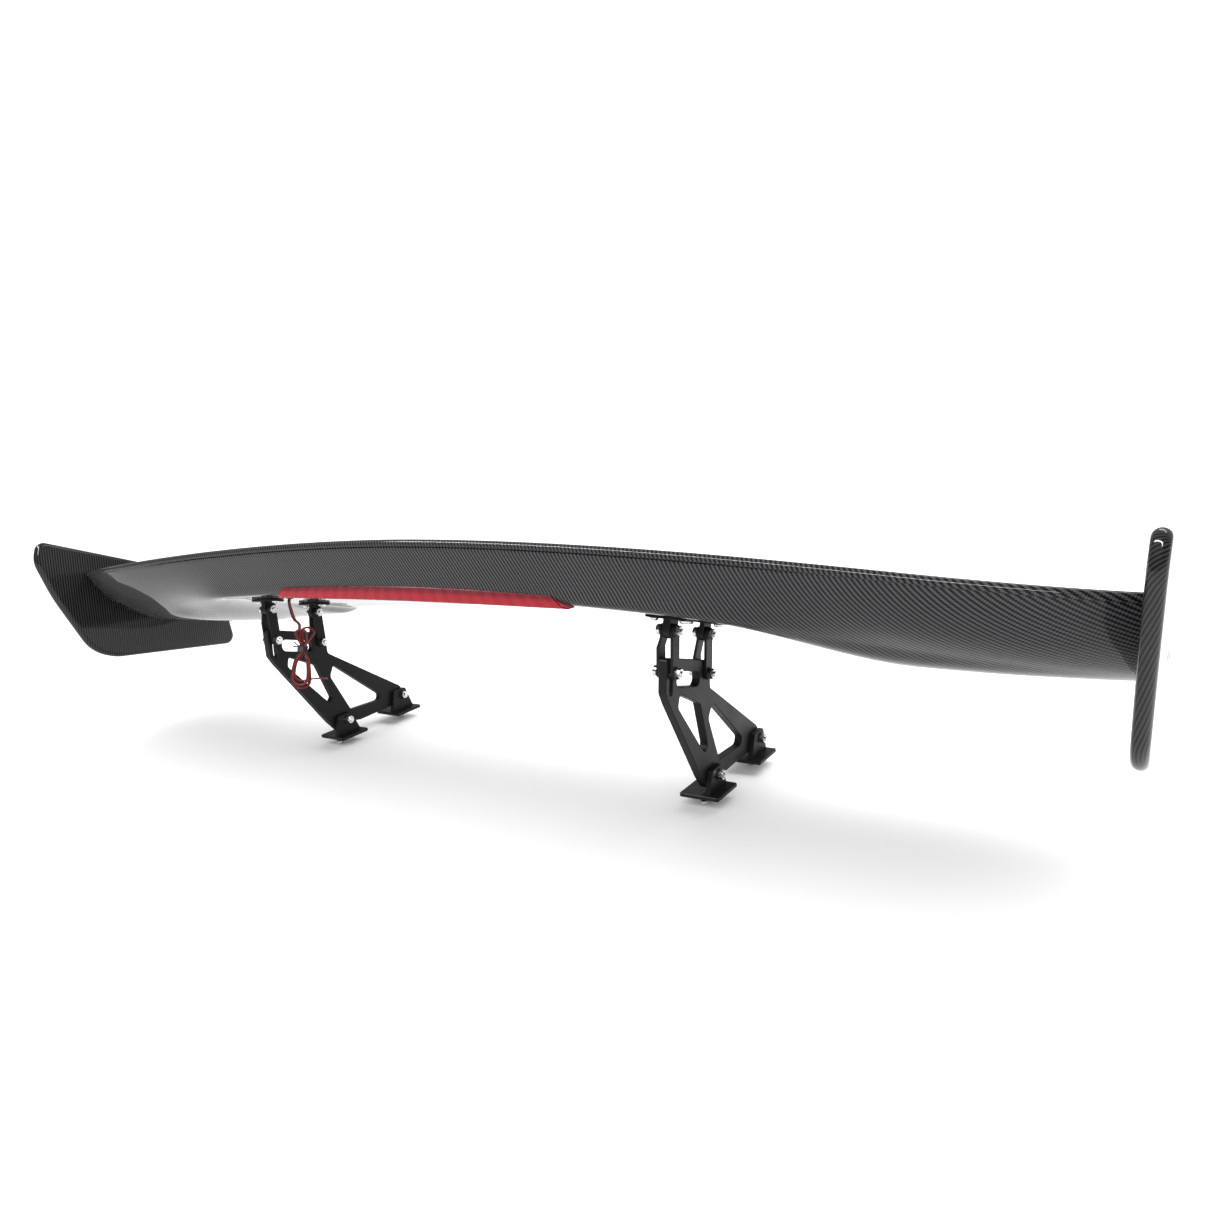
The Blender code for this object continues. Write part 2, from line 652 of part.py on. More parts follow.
def make_foot(side, sign, end, parts, cutters):
    """Level sole with an upright tab bolted to the frame's +X face, and its ground bolt."""
    pivot = FOOT_PIVOTS[end]
    centre, top = FOOT_BASES[end]
    name = "%s_%s_foot" % (side, end)
    thickness = 4.2
    level = Matrix.Translation((sign * STAND_X * MM, 0.0, 0.0))
    sole = box(name, (0.0, centre, top - thickness / 2.0), (47.0, 47.0, thickness), level,
               parts, black_metal(name))
    tab_x = PLATE_THICKNESS / 2.0 + GAP + 3.0
    matrix = stand_matrix(sign) @ Matrix.Translation((tab_x * MM, 0.0, 0.0))
    y, z = pivot
    floor = top - 1.5
    tab = [(centre - 21.0, floor), (centre + 21.0, floor), (y + 7.5, z + 9.5), (y - 16.0, z + 9.5)]
    corners = rounded(tab, [0.4, 0.4, 3.5, 3.5], 3)
    upright = slab(name + "_tab", [corners, circle(pivot, HOLE_RADIUS)], 6.0, matrix, cutters, None)
    cut(sole, [as_guide(upright)], "UNION")
    bolt_y = GROUND_BOLTS[end]
    hole = rod_cutter(name + "_hole", (0.0, bolt_y, top), 3.2, 24.0, level, cutters, 10)
    cut(sole, [hole])
    spot = level @ Matrix.Translation((0.0, bolt_y * MM, 0.0))
    profile = [(0.0, top - 0.3), (BOLT_RADIUS, top - 0.3), (BOLT_RADIUS, 6.2), (4.6, 6.2),
               (4.9, 5.4), (4.9, 0.6), (4.3, 0.0), (0.0, 0.0)]
    bolt = hex_fastener(name + "_ground_bolt", profile, spot, parts, 12)
    return [sole, bolt]


def make_stand(side, sign, blade, parts, cutters, wing_parts):
    half = PLATE_THICKNESS / 2.0
    frame = make_frame(side, sign, parts)
    for end, pivot in FOOT_PIVOTS.items():
        cross_bolt("%s_%s_foot_bolt" % (side, end), sign, pivot, -half, half + GAP + 6.0, parts)
        feet = make_foot(side, sign, end, parts, cutters)
        hinge = stand_matrix(sign) @ (Vector((0.0, *pivot)) * MM)
        join_to(feet, joint_empty("%s_%s_foot_axis" % (side, end), hinge / MM, parts))
    all_holes = []
    for place_name, low in (("rear", REAR_LOW), ("front", FRONT_LOW)):
        links = make_links(side, sign, place_name, low, parts)
        clasp = CLASP[place_name] + LINK_THICKNESS
        for level_name, point, near in (("lower", low, -clasp),
                                        ("upper", above(low), JOGGLE - clasp)):
            label = "%s_%s_%s_bolt" % (side, place_name, level_name)
            links.append(cross_bolt(label, sign, point, near, clasp, parts))
        if place_name == "rear":
            hinge = stand_matrix(sign) @ (Vector((0.0, *above(low))) * MM)
            join_to(links, joint_empty(side + "_rear_link_axis", hinge / MM, parts))
        bracket, screws, holes = make_bracket(side, sign, place_name, low, parts, cutters)
        wing_parts += [bracket] + screws
        all_holes += holes
    cut(blade, all_holes)
    wing_parts.append(make_backing_plate(side, sign, all_holes, parts))
    return frame


# ---------------------------------------------------------------- lamp lead

def smooth_route(points, spacing):
    """Points along a smooth curve through the route's own points."""
    dense = []
    for i in range(len(points) - 1):
        p0 = Vector(points[max(i - 1, 0)])
        p1 = Vector(points[i])
        p2 = Vector(points[i + 1])
        p3 = Vector(points[min(i + 2, len(points) - 1)])
        for k in range(20):
            t = k / 20.0
            dense.append(0.5 * (2 * p1 + (p2 - p0) * t + (2 * p0 - 5 * p1 + 4 * p2 - p3) * t * t
                                + (3 * p1 - p0 - 3 * p2 + p3) * t ** 3))
    dense.append(Vector(points[-1]))
    kept = [dense[0]]
    walked = 0.0
    for before, after in zip(dense, dense[1:]):
        walked += (after - before).length
        if walked >= spacing:
            kept.append(after)
            walked = 0.0
    kept[-1] = dense[-1]
    return kept


def make_tube(name, points, diameter, parts, material):
    curve = bpy.data.curves.new(name, "CURVE")
    curve.dimensions = "3D"
    curve.bevel_depth = diameter * MM / 2.0
    curve.bevel_resolution = 2
    curve.use_fill_caps = True
    spline = curve.splines.new("POLY")
    spline.points.add(len(points) - 1)
    for point, place_at in zip(spline.points, points):
        point.co = (*(Vector(place_at) * MM), 1.0)
    return curve_to_mesh(bpy.data.objects.new(name, curve), parts, material)


def hank_frame():
    """Frame of the tied hank: z up along it, y across its loops."""
    up = (Vector(HANK_TOP) - Vector(HANK_BOTTOM)).normalized()
    across = Vector(HANK_FACING)
    across = (across - up * across.dot(up)).normalized()
    through = across.cross(up)
    middle = (Vector(HANK_TOP) + Vector(HANK_BOTTOM)) / 2.0 * MM
    turn = Matrix((through, across, up)).transposed().to_4x4()
    return Matrix.Translation(middle) @ turn


def make_lead(blade, parts, cutters):
    """Lamp lead: out through a grommet, down to a tied hank, with a short free tail."""
    x, y = LEAD_EXIT
    skin_z = underside(y) - arch_drop(x)
    spot = Matrix.Translation(Vector((x, y, skin_z)) * MM) @ Matrix.Rotation(-PITCH, 4, "X")
    name = "lead_grommet"
    mesh = bpy.data.meshes.new(name)
    ring = [(1.7, 5.5), (4.3, 5.5), (4.3, 3.9), (3.2, 3.9), (3.2, -1.0), (4.3, -1.0),
            (4.3, -3.0), (1.7, -3.0)]
    mesh.from_pydata([(r * MM, 0.0, h * MM) for r, h in ring],
                     [(k, (k + 1) % len(ring)) for k in range(len(ring))], [])
    grommet = bpy.data.objects.new(name, mesh)
    grommet.matrix_world = spot
    place(grommet, parts, make_material(name, (0.02, 0.02, 0.02), 0.7, 0.0))
    turn = grommet.modifiers.new("Turn", "SCREW")
    turn.steps = 12
    turn.render_steps = 12
    turn.use_merge_vertices = True
    turn.merge_threshold = 0.00001
    cut(blade, [rod_cutter("lead_hole", (0.0, 0.0, 0.0), 3.5, 16.0, spot, cutters)])
    frame = hank_frame()
    up = frame.col[2].to_3d()
    top = Vector(HANK_TOP) + up * GAP * 2.0
    run = [tuple(spot @ (Vector((0.0, 0.0, h)) * MM) / MM) for h in (7.0, 3.0, -1.0, -5.0)]
    run += [(x + 1.2, y - 2.0, skin_z - 14.0), (x + 3.5, y + 1.0, skin_z - 24.0),
            tuple(top + up * 7.0), tuple(top)]
    red = make_material("lamp_lead", (0.30, 0.01, 0.01), 0.45, 0.0)
    lead = make_tube("lamp_lead", smooth_route(run, 6.0), LEAD_DIAMETER, parts, red)
    half = HANK_WIDTH / 2.0
    straight = (Vector(HANK_TOP) - Vector(HANK_BOTTOM)).length / 2.0 - half
    name = "lead_hank"
    hank = slab(name, [capsule((0.0, -straight), (0.0, straight), half)], HANK_DEPTH, frame,
                parts, make_material(name, (0.30, 0.01, 0.01), 0.45, 0.0))
    tail = [(0.0, half + GAP * 2.0, -26.0), (0.0, half + 7.0, -26.0), (0.5, half + 14.0, -24.5),
            (1.0, half + 22.0, -23.5)]
    tail = [tuple(frame @ (Vector(point) * MM) / MM) for point in tail]
    name = "lead_tail"
    end = make_tube(name, smooth_route(tail, 5.0), LEAD_DIAMETER, parts,
                    make_material(name, (0.30, 0.01, 0.01), 0.45, 0.0))
    return [grommet, lead, hank, end]


def build():
    clear_scene()
    parts = new_collection("racing_rear_wing")
    cutters = new_collection("cutters")
    blade = make_blade(parts, cutters)
    wing_parts = [blade]
    wing_parts += make_brake_light(blade, parts, cutters)
    for side, sign in SIDES.items():
        wing_parts += make_end_plate(side, sign, parts, cutters)
        make_stand(side, sign, blade, parts, cutters, wing_parts)
    wing_parts += make_lead(blade, parts, cutters)
    hinge = stand_matrix(1) @ (Vector((0.0, *above(FRONT_LOW))) * MM) / MM
    join_to(wing_parts, joint_empty("wing_tilt_axis", (0.0, hinge.y, hinge.z), parts))
    for item in bpy.data.objects:
        if item.parent is None:
            item.location.y -= FOOTPRINT_Y * MM


build()
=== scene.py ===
"""Looks for the racing rear wing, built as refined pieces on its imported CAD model.

Helpers take millimetres in the wing's own layout; ROW moves that layout to the row frame,
whose origin is the middle of the footprint on the ground.  +X is right seen from behind,
+Y forwards, +Z up.
"""
import math

import bmesh
import bpy
from mathutils import Matrix, Vector


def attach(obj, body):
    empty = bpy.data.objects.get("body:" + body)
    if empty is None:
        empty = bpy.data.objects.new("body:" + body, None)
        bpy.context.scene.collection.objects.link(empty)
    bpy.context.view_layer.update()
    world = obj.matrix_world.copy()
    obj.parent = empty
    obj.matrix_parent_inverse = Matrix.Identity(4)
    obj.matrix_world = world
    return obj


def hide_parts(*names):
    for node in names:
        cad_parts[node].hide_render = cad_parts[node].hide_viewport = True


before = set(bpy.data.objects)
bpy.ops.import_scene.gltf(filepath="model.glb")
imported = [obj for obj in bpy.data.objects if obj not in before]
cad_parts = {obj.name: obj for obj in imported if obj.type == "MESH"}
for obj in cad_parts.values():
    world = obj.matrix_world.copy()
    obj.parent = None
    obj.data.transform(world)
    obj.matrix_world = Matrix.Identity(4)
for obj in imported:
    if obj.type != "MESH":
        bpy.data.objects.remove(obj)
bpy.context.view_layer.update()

MM = 0.001
GAP = 0.3                     # gap that touching pieces keep
FOOTPRINT_Y = 4.7
ROW = Matrix.Translation((0.0, -FOOTPRINT_Y * MM, 0.0))
SIDES = {"left": -1, "right": 1}

# blade
BLADE_END = 707.3             # half length of the blade at height END_HEIGHT
END_HEIGHT = 234.0
PLATE_TILT = 0.0782           # outward tilt of the end plates, as a slope
EDGE_Y = -115.3               # trailing edge at mid span
EDGE_Z = 311.3
SPAN_HALF = 710.0             # the arch and the sweep are measured over this
ARCH = 50.0
ARCH_POWER = 1.8
TIP_SWEEP = 36.0
SWEEP_START = 0.6
LIP_RADIUS = 5.0
BELLY_START = 334.0
BELLY_END = 530.0
# how far the belly and nose rise off their plain line, by distance from mid span
BELLY_RISE = [(334.0, 0.0), (345.0, -2.5), (362.0, -8.0), (400.0, -11.0), (450.0, -14.0),
              (520.0, -13.0), (600.0, -2.0), (660.0, 8.0), (707.0, 14.0)]
PITCH = math.radians(16.2)    # slope of the underside over the stands
UNDERSIDE_POINT = (-53.7, 235.9)
BLADE_STATIONS = 150
NOSE_POINT = 64               # section point at the nose, where the cloth ends meet

# carbon cloth: stripes of the twill, in cycles per mm along the span and down the chord
STRIPES_ALONG = 0.232
STRIPES_AT_TIP = 0.105        # the cloth is drawn out towards the right tip
STRIPES_DOWN = -0.10
DOWN_AT_TIP = -0.21
CROSSINGS = 1.5               # how much finer the tows cross than the stripes repeat
DRAWN_FROM = 430.0
PLATE_STRIPES = {"left": (0.277, -0.034), "right": (-0.28, -0.20)}

# end plates
PLATE_THICKNESS = 13.0
PLATE_RIM = 6.4
PLATE_OUTLINE = [
    (-147.0, 290.0), (-135.0, 319.5), (141.0, 210.0), (147.0, 91.5), (-60.0, 121.0),
    (-96.0, 137.0), (-133.0, 232.0),
]
PLATE_CORNERS = [40.0, 13.0, 30.0, 15.0, 60.0, 60.0, 300.0]
PLATE_SCREWS = {"rear": (48.0, 183.0), "front": (96.0, 170.0)}

# stands, in each stand's own plane: (y, height)
STAND_X = 292.5
LEAN = math.radians(3.9)
STAND_THICKNESS = 9.5
FRONT_LOW = (12.5, 149.2)
LINK_RISE = (2.0, 42.0)
REAR_LOW = (-59.5, 170.0)
LOWER_BOLTS = {"rear": REAR_LOW, "front": FRONT_LOW}
SLOT_RANGE = math.radians(15.0)
FOOT_PIVOTS = {"rear": (27.2, 31.5), "front": (135.0, 35.6)}
FOOT_BASES = {"rear": (24.0, 14.4), "front": (130.9, 15.8)}
GROUND_BOLTS = {"rear": 13.9, "front": 133.6}
HOLE_RADIUS = 3.3
SOLE_WIDTH = 47.0
SOLE_THICKNESS = 4.2
TAB_THICKNESS = 6.0
LINK_WIDTH = 14.0
LINK_THICKNESS = 3.0
LUG_RISE = 13.4
JOGGLE = 4.0
CLASP = {"rear": STAND_THICKNESS / 2.0 + 1.6, "front": STAND_THICKNESS / 2.0 + GAP}
JOGGLE_HEIGHTS = {"rear": (25.0, 36.0), "front": (17.0, 36.0)}
BRACKET_SCREW_X = 16.5
CHAMFER = 0.7
FRAME_OUTLINE = [
    (-69.0, 187.0), (21.5, 160.5), (20.7, 131.0), (138.0, 49.0), (150.0, 30.0), (133.0, 20.0),
    (113.0, 23.6), (54.0, 22.6), (41.0, 25.0), (27.0, 16.6), (13.0, 18.5), (-1.5, 37.0),
    (-65.3, 138.0), (-72.0, 151.0),
]
FRAME_CORNERS = [4.0, 9.0, 6.0, 8.0, 12.0, 9.0, 6.0, 8.0, 8.0, 14.0, 12.0, 10.0, 8.0, 8.0]
FRAME_WINDOWS = [
    ([(-50.0, 169.0), (-2.5, 155.0), (-2.5, 139.2), (-50.0, 152.6)], [6.5, 6.0, 6.5, 6.5]),
    ([(-44.0, 143.0), (-2.0, 120.0), (13.5, 69.0), (6.5, 62.0), (-48.0, 130.0)],
     [4.0, 6.0, 4.0, 4.0, 6.0]),
    ([(26.0, 113.0), (98.0, 48.0), (95.0, 39.6), (40.5, 42.0), (16.5, 98.0)],
     [4.0, 5.0, 6.0, 4.0, 8.0]),
]

# brake light
LIGHT_TOP = 205.5             # half length along its top edge
LIGHT_SLANT = 1.3
LIGHT_TOP_Z = 257.0
LIGHT_STATIONS = 56
LIGHT_SAG = 5.5               # how far its lower edge hangs at mid span
LIGHT_SAG_HALF = 230.0

# lamp lead
LEAD_EXIT = (-239.5, -70.0)
HANK_TOP = (-232.0, -61.0, 192.0)
HANK_BOTTOM = (-241.2, -77.1, 111.8)
HANK_FACING = (0.82, 0.57, 0.0)
TIE_BELOW_TOP = 29.0          # the tie, down from the top of the hank
CORE_DIAMETER = 2.2           # one of the lead's two cores

# studio: strengths of the surround and the lights, and the camera
STUDIO_BEHIND = 0.08          # what glossy faces mirror from behind the camera
STUDIO_AHEAD = 0.6
EVEN_SKY = 1.5
BACKDROP = 1.05
OVERHEAD_POWER = 1.2
BOX_POWER = 18.0
STRIP_POWER = 105.0
FLOOR_SIZE = 60.0
CAMERA_LENS = 27.65
CAMERA_PLACE = (0.7563, -0.8178, 0.4174)
CAMERA_TURN = (34.417, -11.431, 5.592)    # yaw, pitch and roll in degrees


# ---------------------------------------------------------------- shader nodes

class Graph:
    """Short calls for building one material's node tree."""

    def __init__(self, name):
        self.material = bpy.data.materials.new(name)
        self.material.use_nodes = True
        self.tree = self.material.node_tree
        self.shader = self.tree.nodes["Principled BSDF"]

    def node(self, kind, **settings):
        made = self.tree.nodes.new(kind)
        for name, value in settings.items():
            setattr(made, name, value)
        return made

    def feed(self, socket, value):
        if isinstance(value, bpy.types.NodeSocket):
            self.tree.links.new(value, socket)
        elif isinstance(value, tuple) and len(value) == 3 and socket.type == "RGBA":
            socket.default_value = (*value, 1.0)
        else:
            socket.default_value = value

    def math(self, operation, a, b=0.0, clamp=False):
        made = self.node("ShaderNodeMath", operation=operation, use_clamp=clamp)
        self.feed(made.inputs[0], a)
        self.feed(made.inputs[1], b)
        return made.outputs[0]

    def mix(self, factor, a, b):
        made = self.node("ShaderNodeMix", data_type="RGBA")
        self.feed(made.inputs["Factor"], factor)
        self.feed(made.inputs["A"], a)
        self.feed(made.inputs["B"], b)
        return made.outputs["Result"]

    def ramp(self, value, low, high, to_low=0.0, to_high=1.0):
        made = self.node("ShaderNodeMapRange", interpolation_type="SMOOTHSTEP")
        for socket, number in zip(made.inputs, (value, low, high, to_low, to_high)):
            self.feed(socket, number)
        return made.outputs["Result"]

    def noise(self, scale, detail=3.0, vector=None, roughness=0.5):
        made = self.node("ShaderNodeTexNoise")
        made.inputs["Scale"].default_value = scale
        made.inputs["Detail"].default_value = detail
        made.inputs["Roughness"].default_value = roughness
        self.feed(made.inputs["Vector"], vector or self.place())
        return made.outputs["Fac"]

    def place(self, stretch=None):
        point = self.node("ShaderNodeTexCoord").outputs["Object"]
        if stretch is None:
            return point
        scaled = self.node("ShaderNodeMapping")
        scaled.inputs["Scale"].default_value = stretch
        self.feed(scaled.inputs["Vector"], point)
        return scaled.outputs["Vector"]

    def bump(self, height, distance, strength=1.0):
        made = self.node("ShaderNodeBump")
        made.inputs["Strength"].default_value = strength
        made.inputs["Distance"].default_value = distance
        self.feed(made.inputs["Height"], height)
        self.feed(self.shader.inputs["Normal"], made.outputs["Normal"])

    def set(self, **values):
        for name, value in values.items():
            self.feed(self.shader.inputs[name.replace("_", " ")], value)
        return self.material


def uv_parts(graph, layer):
    """The two numbers that a UV layer holds."""
    uv = graph.node("ShaderNodeUVMap", uv_map=layer)
    split = graph.node("ShaderNodeSeparateXYZ")
    graph.feed(split.inputs[0], uv.outputs["UV"])
    return split.outputs["X"], split.outputs["Y"]


def carbon_cloth(name, bright, dark, coat, glossy):
    """2x2 twill under clear lacquer, with painted sheen on the tows on top, painted shade on the tows
    under them and painted shade at the tows' edges; the weave layer counts tows both ways.
    """
    g = Graph(name)
    p, q = uv_parts(g, "weave")
    row, column = g.math("FLOOR", p), g.math("FLOOR", q)
    across_p, across_q = g.math("FRACT", p), g.math("FRACT", q)
    step = g.math("FRACT", g.math("DIVIDE", g.math("SUBTRACT", row, column), 4.0))
    over = g.math("LESS_THAN", step, 0.499)
    # a tow is crowned across its width and dips where it goes under
    crowns = []
    for across in (across_p, across_q):
        offset = g.math("SUBTRACT", across, 0.5)
        squared = g.math("MULTIPLY", offset, offset)
        crowns.append(g.math("SUBTRACT", 1.0, g.math("MULTIPLY", squared, 4.0)))
    turned = g.math("SUBTRACT", 1.0, over)
    crown = g.math("ADD", g.math("MULTIPLY", crowns[0], over),
                   g.math("MULTIPLY", crowns[1], turned))
    # fibres run along each tow, so their streaks are thin across it
    across = g.math("ADD", g.math("MULTIPLY", p, over), g.math("MULTIPLY", q, turned))
    along = g.math("ADD", g.math("MULTIPLY", q, over), g.math("MULTIPLY", p, turned))
    joined = g.node("ShaderNodeCombineXYZ")
    g.feed(joined.inputs[0], g.math("MULTIPLY", across, 9.0))
    g.feed(joined.inputs[1], along)
    streaks = g.noise(1.6, 2.0, joined.outputs[0])
    patches = g.noise(7.0, 2.0)
    # painted sheen and shade: the tows on top take the bright colour and the tows under them the dark
    # one, in place of the light their fibres catch
    lit = g.mix(patches, tuple(0.88 * c for c in bright), tuple(1.12 * c for c in bright))
    shaded = g.mix(patches, tuple(0.8 * c for c in dark), tuple(1.2 * c for c in dark))
    tow = g.mix(over, shaded, lit)
    # painted shade: the colour is darkened towards each tow's edges, where it dips under its neighbour,
    # with the real fibre streaks mixed in
    grain = g.math("MULTIPLY", crown, g.math("ADD", 0.6, g.math("MULTIPLY", streaks, 0.8)))
    shade = g.ramp(grain, 0.0, 0.9, 0.82, 1.0)
    colour = g.node("ShaderNodeMix", data_type="RGBA", blend_type="MULTIPLY")
    colour.inputs["Factor"].default_value = 1.0
    g.feed(colour.inputs["A"], tow)
    g.feed(colour.inputs["B"], shade)
    g.bump(crown, 0.00005, 0.3)
    return g.set(Base_Color=colour.outputs["Result"], Roughness=g.ramp(streaks, 0.2, 0.8, 0.4, 0.55),
                 Specular_IOR_Level=0.04, Coat_Weight=coat, Coat_Roughness=0.03, Coat_IOR=glossy)


def black_metal():
    """Satin black anodised aluminium with a fine brushed grain."""
    g = Graph("black_anodised")
    grain = g.noise(900.0, 2.0, g.place((1.0, 0.15, 1.0)))
    cloud = g.noise(24.0, 4.0)
    g.bump(grain, 0.00002, 0.25)
    return g.set(Base_Color=g.mix(cloud, (0.006, 0.006, 0.0065), (0.011, 0.011, 0.012)),
                 Roughness=g.ramp(cloud, 0.3, 0.7, 0.38, 0.5), Specular_IOR_Level=0.14)


def bright_metal():
    g = Graph("bright_steel")
    turned = g.noise(700.0, 2.0, g.place((1.0, 1.0, 0.2)))
    cloud = g.noise(160.0, 3.0)
    g.bump(turned, 0.00001, 0.2)
    return g.set(Base_Color=g.mix(cloud, (0.50, 0.50, 0.49), (0.66, 0.66, 0.65)), Metallic=1.0,
                 Roughness=g.ramp(cloud, 0.3, 0.7, 0.14, 0.3))


def black_oxide():
    g = Graph("black_oxide_steel")
    cloud = g.noise(220.0, 3.0)
    g.bump(cloud, 0.00002, 0.3)
    return g.set(Base_Color=g.mix(cloud, (0.008, 0.008, 0.009), (0.02, 0.02, 0.021)),
                 Roughness=g.ramp(cloud, 0.3, 0.7, 0.3, 0.48), Specular_IOR_Level=0.3)


def moulded_plastic(name, colour, lighter, rough=0.5):
    g = Graph(name)
    texture = g.noise(1400.0, 2.0)
    g.bump(texture, 0.00002, 0.4)
    return g.set(Base_Color=g.mix(g.noise(40.0), colour, lighter),
                 Roughness=g.ramp(texture, 0.3, 0.7, rough - 0.06, rough + 0.08))


def red_lens():
    """Clear red moulding: a dark band over the lamps' shelf, a bright lower band and a painted glow
    along its lower edge.
    """
    g = Graph("red_lens")
    along, down = uv_parts(g, "lens")
    ribs = g.math("SINE", g.math("MULTIPLY", along, 2.0 * math.pi / 2.5))
    lamps = g.math("SINE", g.math("MULTIPLY", along, 2.0 * math.pi / 17.0))
    upper = g.mix(g.ramp(lamps, -1.0, 1.0), (0.13, 0.014, 0.022), (0.16, 0.018, 0.026))
    lower = g.mix(g.ramp(lamps, -1.0, 1.0), (0.27, 0.012, 0.020), (0.32, 0.015, 0.025))
    blended = g.mix(g.ramp(down, 2.6, 6.4), upper, lower)
    # painted glow: the lens's lower edge is coloured pale pink in place of light coming through the
    # clear moulding
    edge = g.mix(g.ramp(down, 15.0, 19.0), blended, (0.60, 0.10, 0.12))
    g.bump(g.math("ADD", ribs, g.noise(300.0)), 0.00003, 0.25)
    return g.set(Base_Color=edge, Roughness=g.ramp(g.noise(60.0), 0.3, 0.7, 0.22, 0.32),
                 Specular_IOR_Level=0.14)


def wire_cover(name, colour, lighter):
    g = Graph(name)
    patches = g.noise(90.0, 3.0)
    g.bump(g.noise(1500.0), 0.00002, 0.3)
    return g.set(Base_Color=g.mix(patches, colour, lighter),
                 Roughness=g.ramp(patches, 0.3, 0.7, 0.38, 0.5), Specular_IOR_Level=0.25)


def circuit_board():
    g = Graph("lamp_board")
    track = g.ramp(g.noise(420.0, 1.0), 0.52, 0.56)
    return g.set(Base_Color=g.mix(track, (0.01, 0.10, 0.03), (0.03, 0.22, 0.08)),
                 Roughness=g.ramp(track, 0.0, 1.0, 0.35, 0.5))


# the cloth's bright colour is painted sheen on the tows on top, its dark colour painted shade on the
# tows under them
CLOTH_SHADE = (0.003, 0.003, 0.0035)
CARBON = carbon_cloth("carbon_blade_cloth", (0.062, 0.062, 0.065), CLOTH_SHADE, 0.7, 1.25)
PLATE_CARBON = carbon_cloth("carbon_plate_cloth", (0.029, 0.029, 0.030), CLOTH_SHADE, 0.8, 1.36)
BLACK = black_metal()
BRIGHT = bright_metal()
OXIDE = black_oxide()
RED_LENS = red_lens()
PLASTIC = moulded_plastic("black_plastic", (0.010, 0.010, 0.011), (0.02, 0.02, 0.021))
RUBBER = moulded_plastic("black_rubber", (0.012, 0.012, 0.012), (0.022, 0.021, 0.021), 0.7)
RED_WIRE = wire_cover("red_wire", (0.15, 0.005, 0.009), (0.23, 0.008, 0.013))
BLACK_WIRE = wire_cover("black_wire", (0.010, 0.009, 0.009), (0.03, 0.026, 0.026))


# ---------------------------------------------------------------- mesh helpers

def shift(x, y, z):
    """Translation by millimetres."""
    return Matrix.Translation((x * MM, y * MM, z * MM))


def finish_mesh(name, builder, body, material, stands_for=(), sharp=24.0):
    """Turn a bmesh into a shaded piece that rides on a body and stands for CAD nodes."""
    builder.normal_update()
    mesh = bpy.data.meshes.new(name)
    builder.to_mesh(mesh)
    builder.free()
    for polygon in mesh.polygons:
        polygon.use_smooth = True
    mesh.set_sharp_from_angle(angle=math.radians(sharp))
    for each in material if isinstance(material, list) else [material]:
        mesh.materials.append(each)
    item = bpy.data.objects.new(name, mesh)
    bpy.context.scene.collection.objects.link(item)
    return adopt(item, body, stands_for)


def adopt(item, body, stands_for=()):
    if body is not None:
        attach(item, body)
    if stands_for:
        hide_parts(*stands_for)
    return item


def rounded(points, radii, steps=10):
    """A closed outline whose corners are replaced by arcs."""
    outline = []
    count = len(points)
    for index, radius in enumerate(radii):
        corner = Vector(points[index])
        back = (Vector(points[index - 1]) - corner).normalized()
        ahead = (Vector(points[(index + 1) % count]) - corner).normalized()
        half = back.angle(ahead) / 2.0
        reach = radius / math.tan(half)
        centre = corner + (back + ahead).normalized() * (radius / math.sin(half))
        start = corner + back * reach - centre
        end = corner + ahead * reach - centre
        turn = start.angle_signed(end)
        for step in range(steps + 1):
            angle = -turn * step / steps
            spun = Vector((start.x * math.cos(angle) - start.y * math.sin(angle),
                           start.x * math.sin(angle) + start.y * math.cos(angle)))
            outline.append(tuple(centre + spun))
    return outline


def circle(centre, radius, steps=28, phase=0.0):
    turn = 2.0 * math.pi / steps
    return [(centre[0] + radius * math.cos(turn * k + phase),
             centre[1] + radius * math.sin(turn * k + phase)) for k in range(steps)]


def capsule(start, end, radius, steps=14):
    along = math.atan2(end[1] - start[1], end[0] - start[0])
    outline = []
    for centre, first in ((end, along - math.pi / 2.0), (start, along + math.pi / 2.0)):
        for k in range(steps + 1):
            angle = first + math.pi * k / steps
            outline.append((centre[0] + radius * math.cos(angle),
                            centre[1] + radius * math.sin(angle)))
    return outline


# turns a flat outline in XY into one in YZ that is thick along X
UPRIGHT = Matrix(((0, 0, 1, 0), (1, 0, 0, 0), (0, 1, 0, 0), (0, 0, 0, 1)))


def slab(loops, thickness, matrix, chamfer=CHAMFER):
    """bmesh of a flat plate with chamfered rims; the inner loops become holes."""
    curve = bpy.data.curves.new("slab", "CURVE")
    curve.dimensions = "2D"
    curve.fill_mode = "BOTH"
    curve.extrude = (thickness / 2.0 - chamfer) * MM
    curve.bevel_depth = chamfer * MM
    curve.bevel_resolution = 0
    curve.offset = -chamfer * MM
    for loop in loops:
        spline = curve.splines.new("POLY")
        spline.points.add(len(loop) - 1)
        for point, (u, v) in zip(spline.points, loop):
            point.co = (u * MM, v * MM, 0.0, 1.0)
        spline.use_cyclic_u = True
    item = bpy.data.objects.new("slab", curve)
    mesh = bpy.data.meshes.new_from_object(item)
    bpy.data.objects.remove(item)
    bpy.data.curves.remove(curve)
    builder = bmesh.new()
    builder.from_mesh(mesh)
    bpy.data.meshes.remove(mesh)
    bmesh.ops.remove_doubles(builder, verts=builder.verts, dist=0.00001)
    bmesh.ops.recalc_face_normals(builder, faces=builder.faces)
    bmesh.ops.transform(builder, matrix=matrix @ UPRIGHT, verts=builder.verts)
    return builder


def merged(builders):
    """One bmesh from several, keeping each one's material numbers."""
    whole = bmesh.new()
    for builder in builders:
        mesh = bpy.data.meshes.new("part")
        builder.to_mesh(mesh)
        builder.free()
        whole.from_mesh(mesh)
        bpy.data.meshes.remove(mesh)
    return whole


def placed(builder, matrix, material):
    """Give a new closed bmesh its material number and its place."""
    for face in builder.faces:
        face.material_index = material
    bmesh.ops.recalc_face_normals(builder, faces=builder.faces)
    bmesh.ops.transform(builder, matrix=matrix, verts=builder.verts)
    return builder


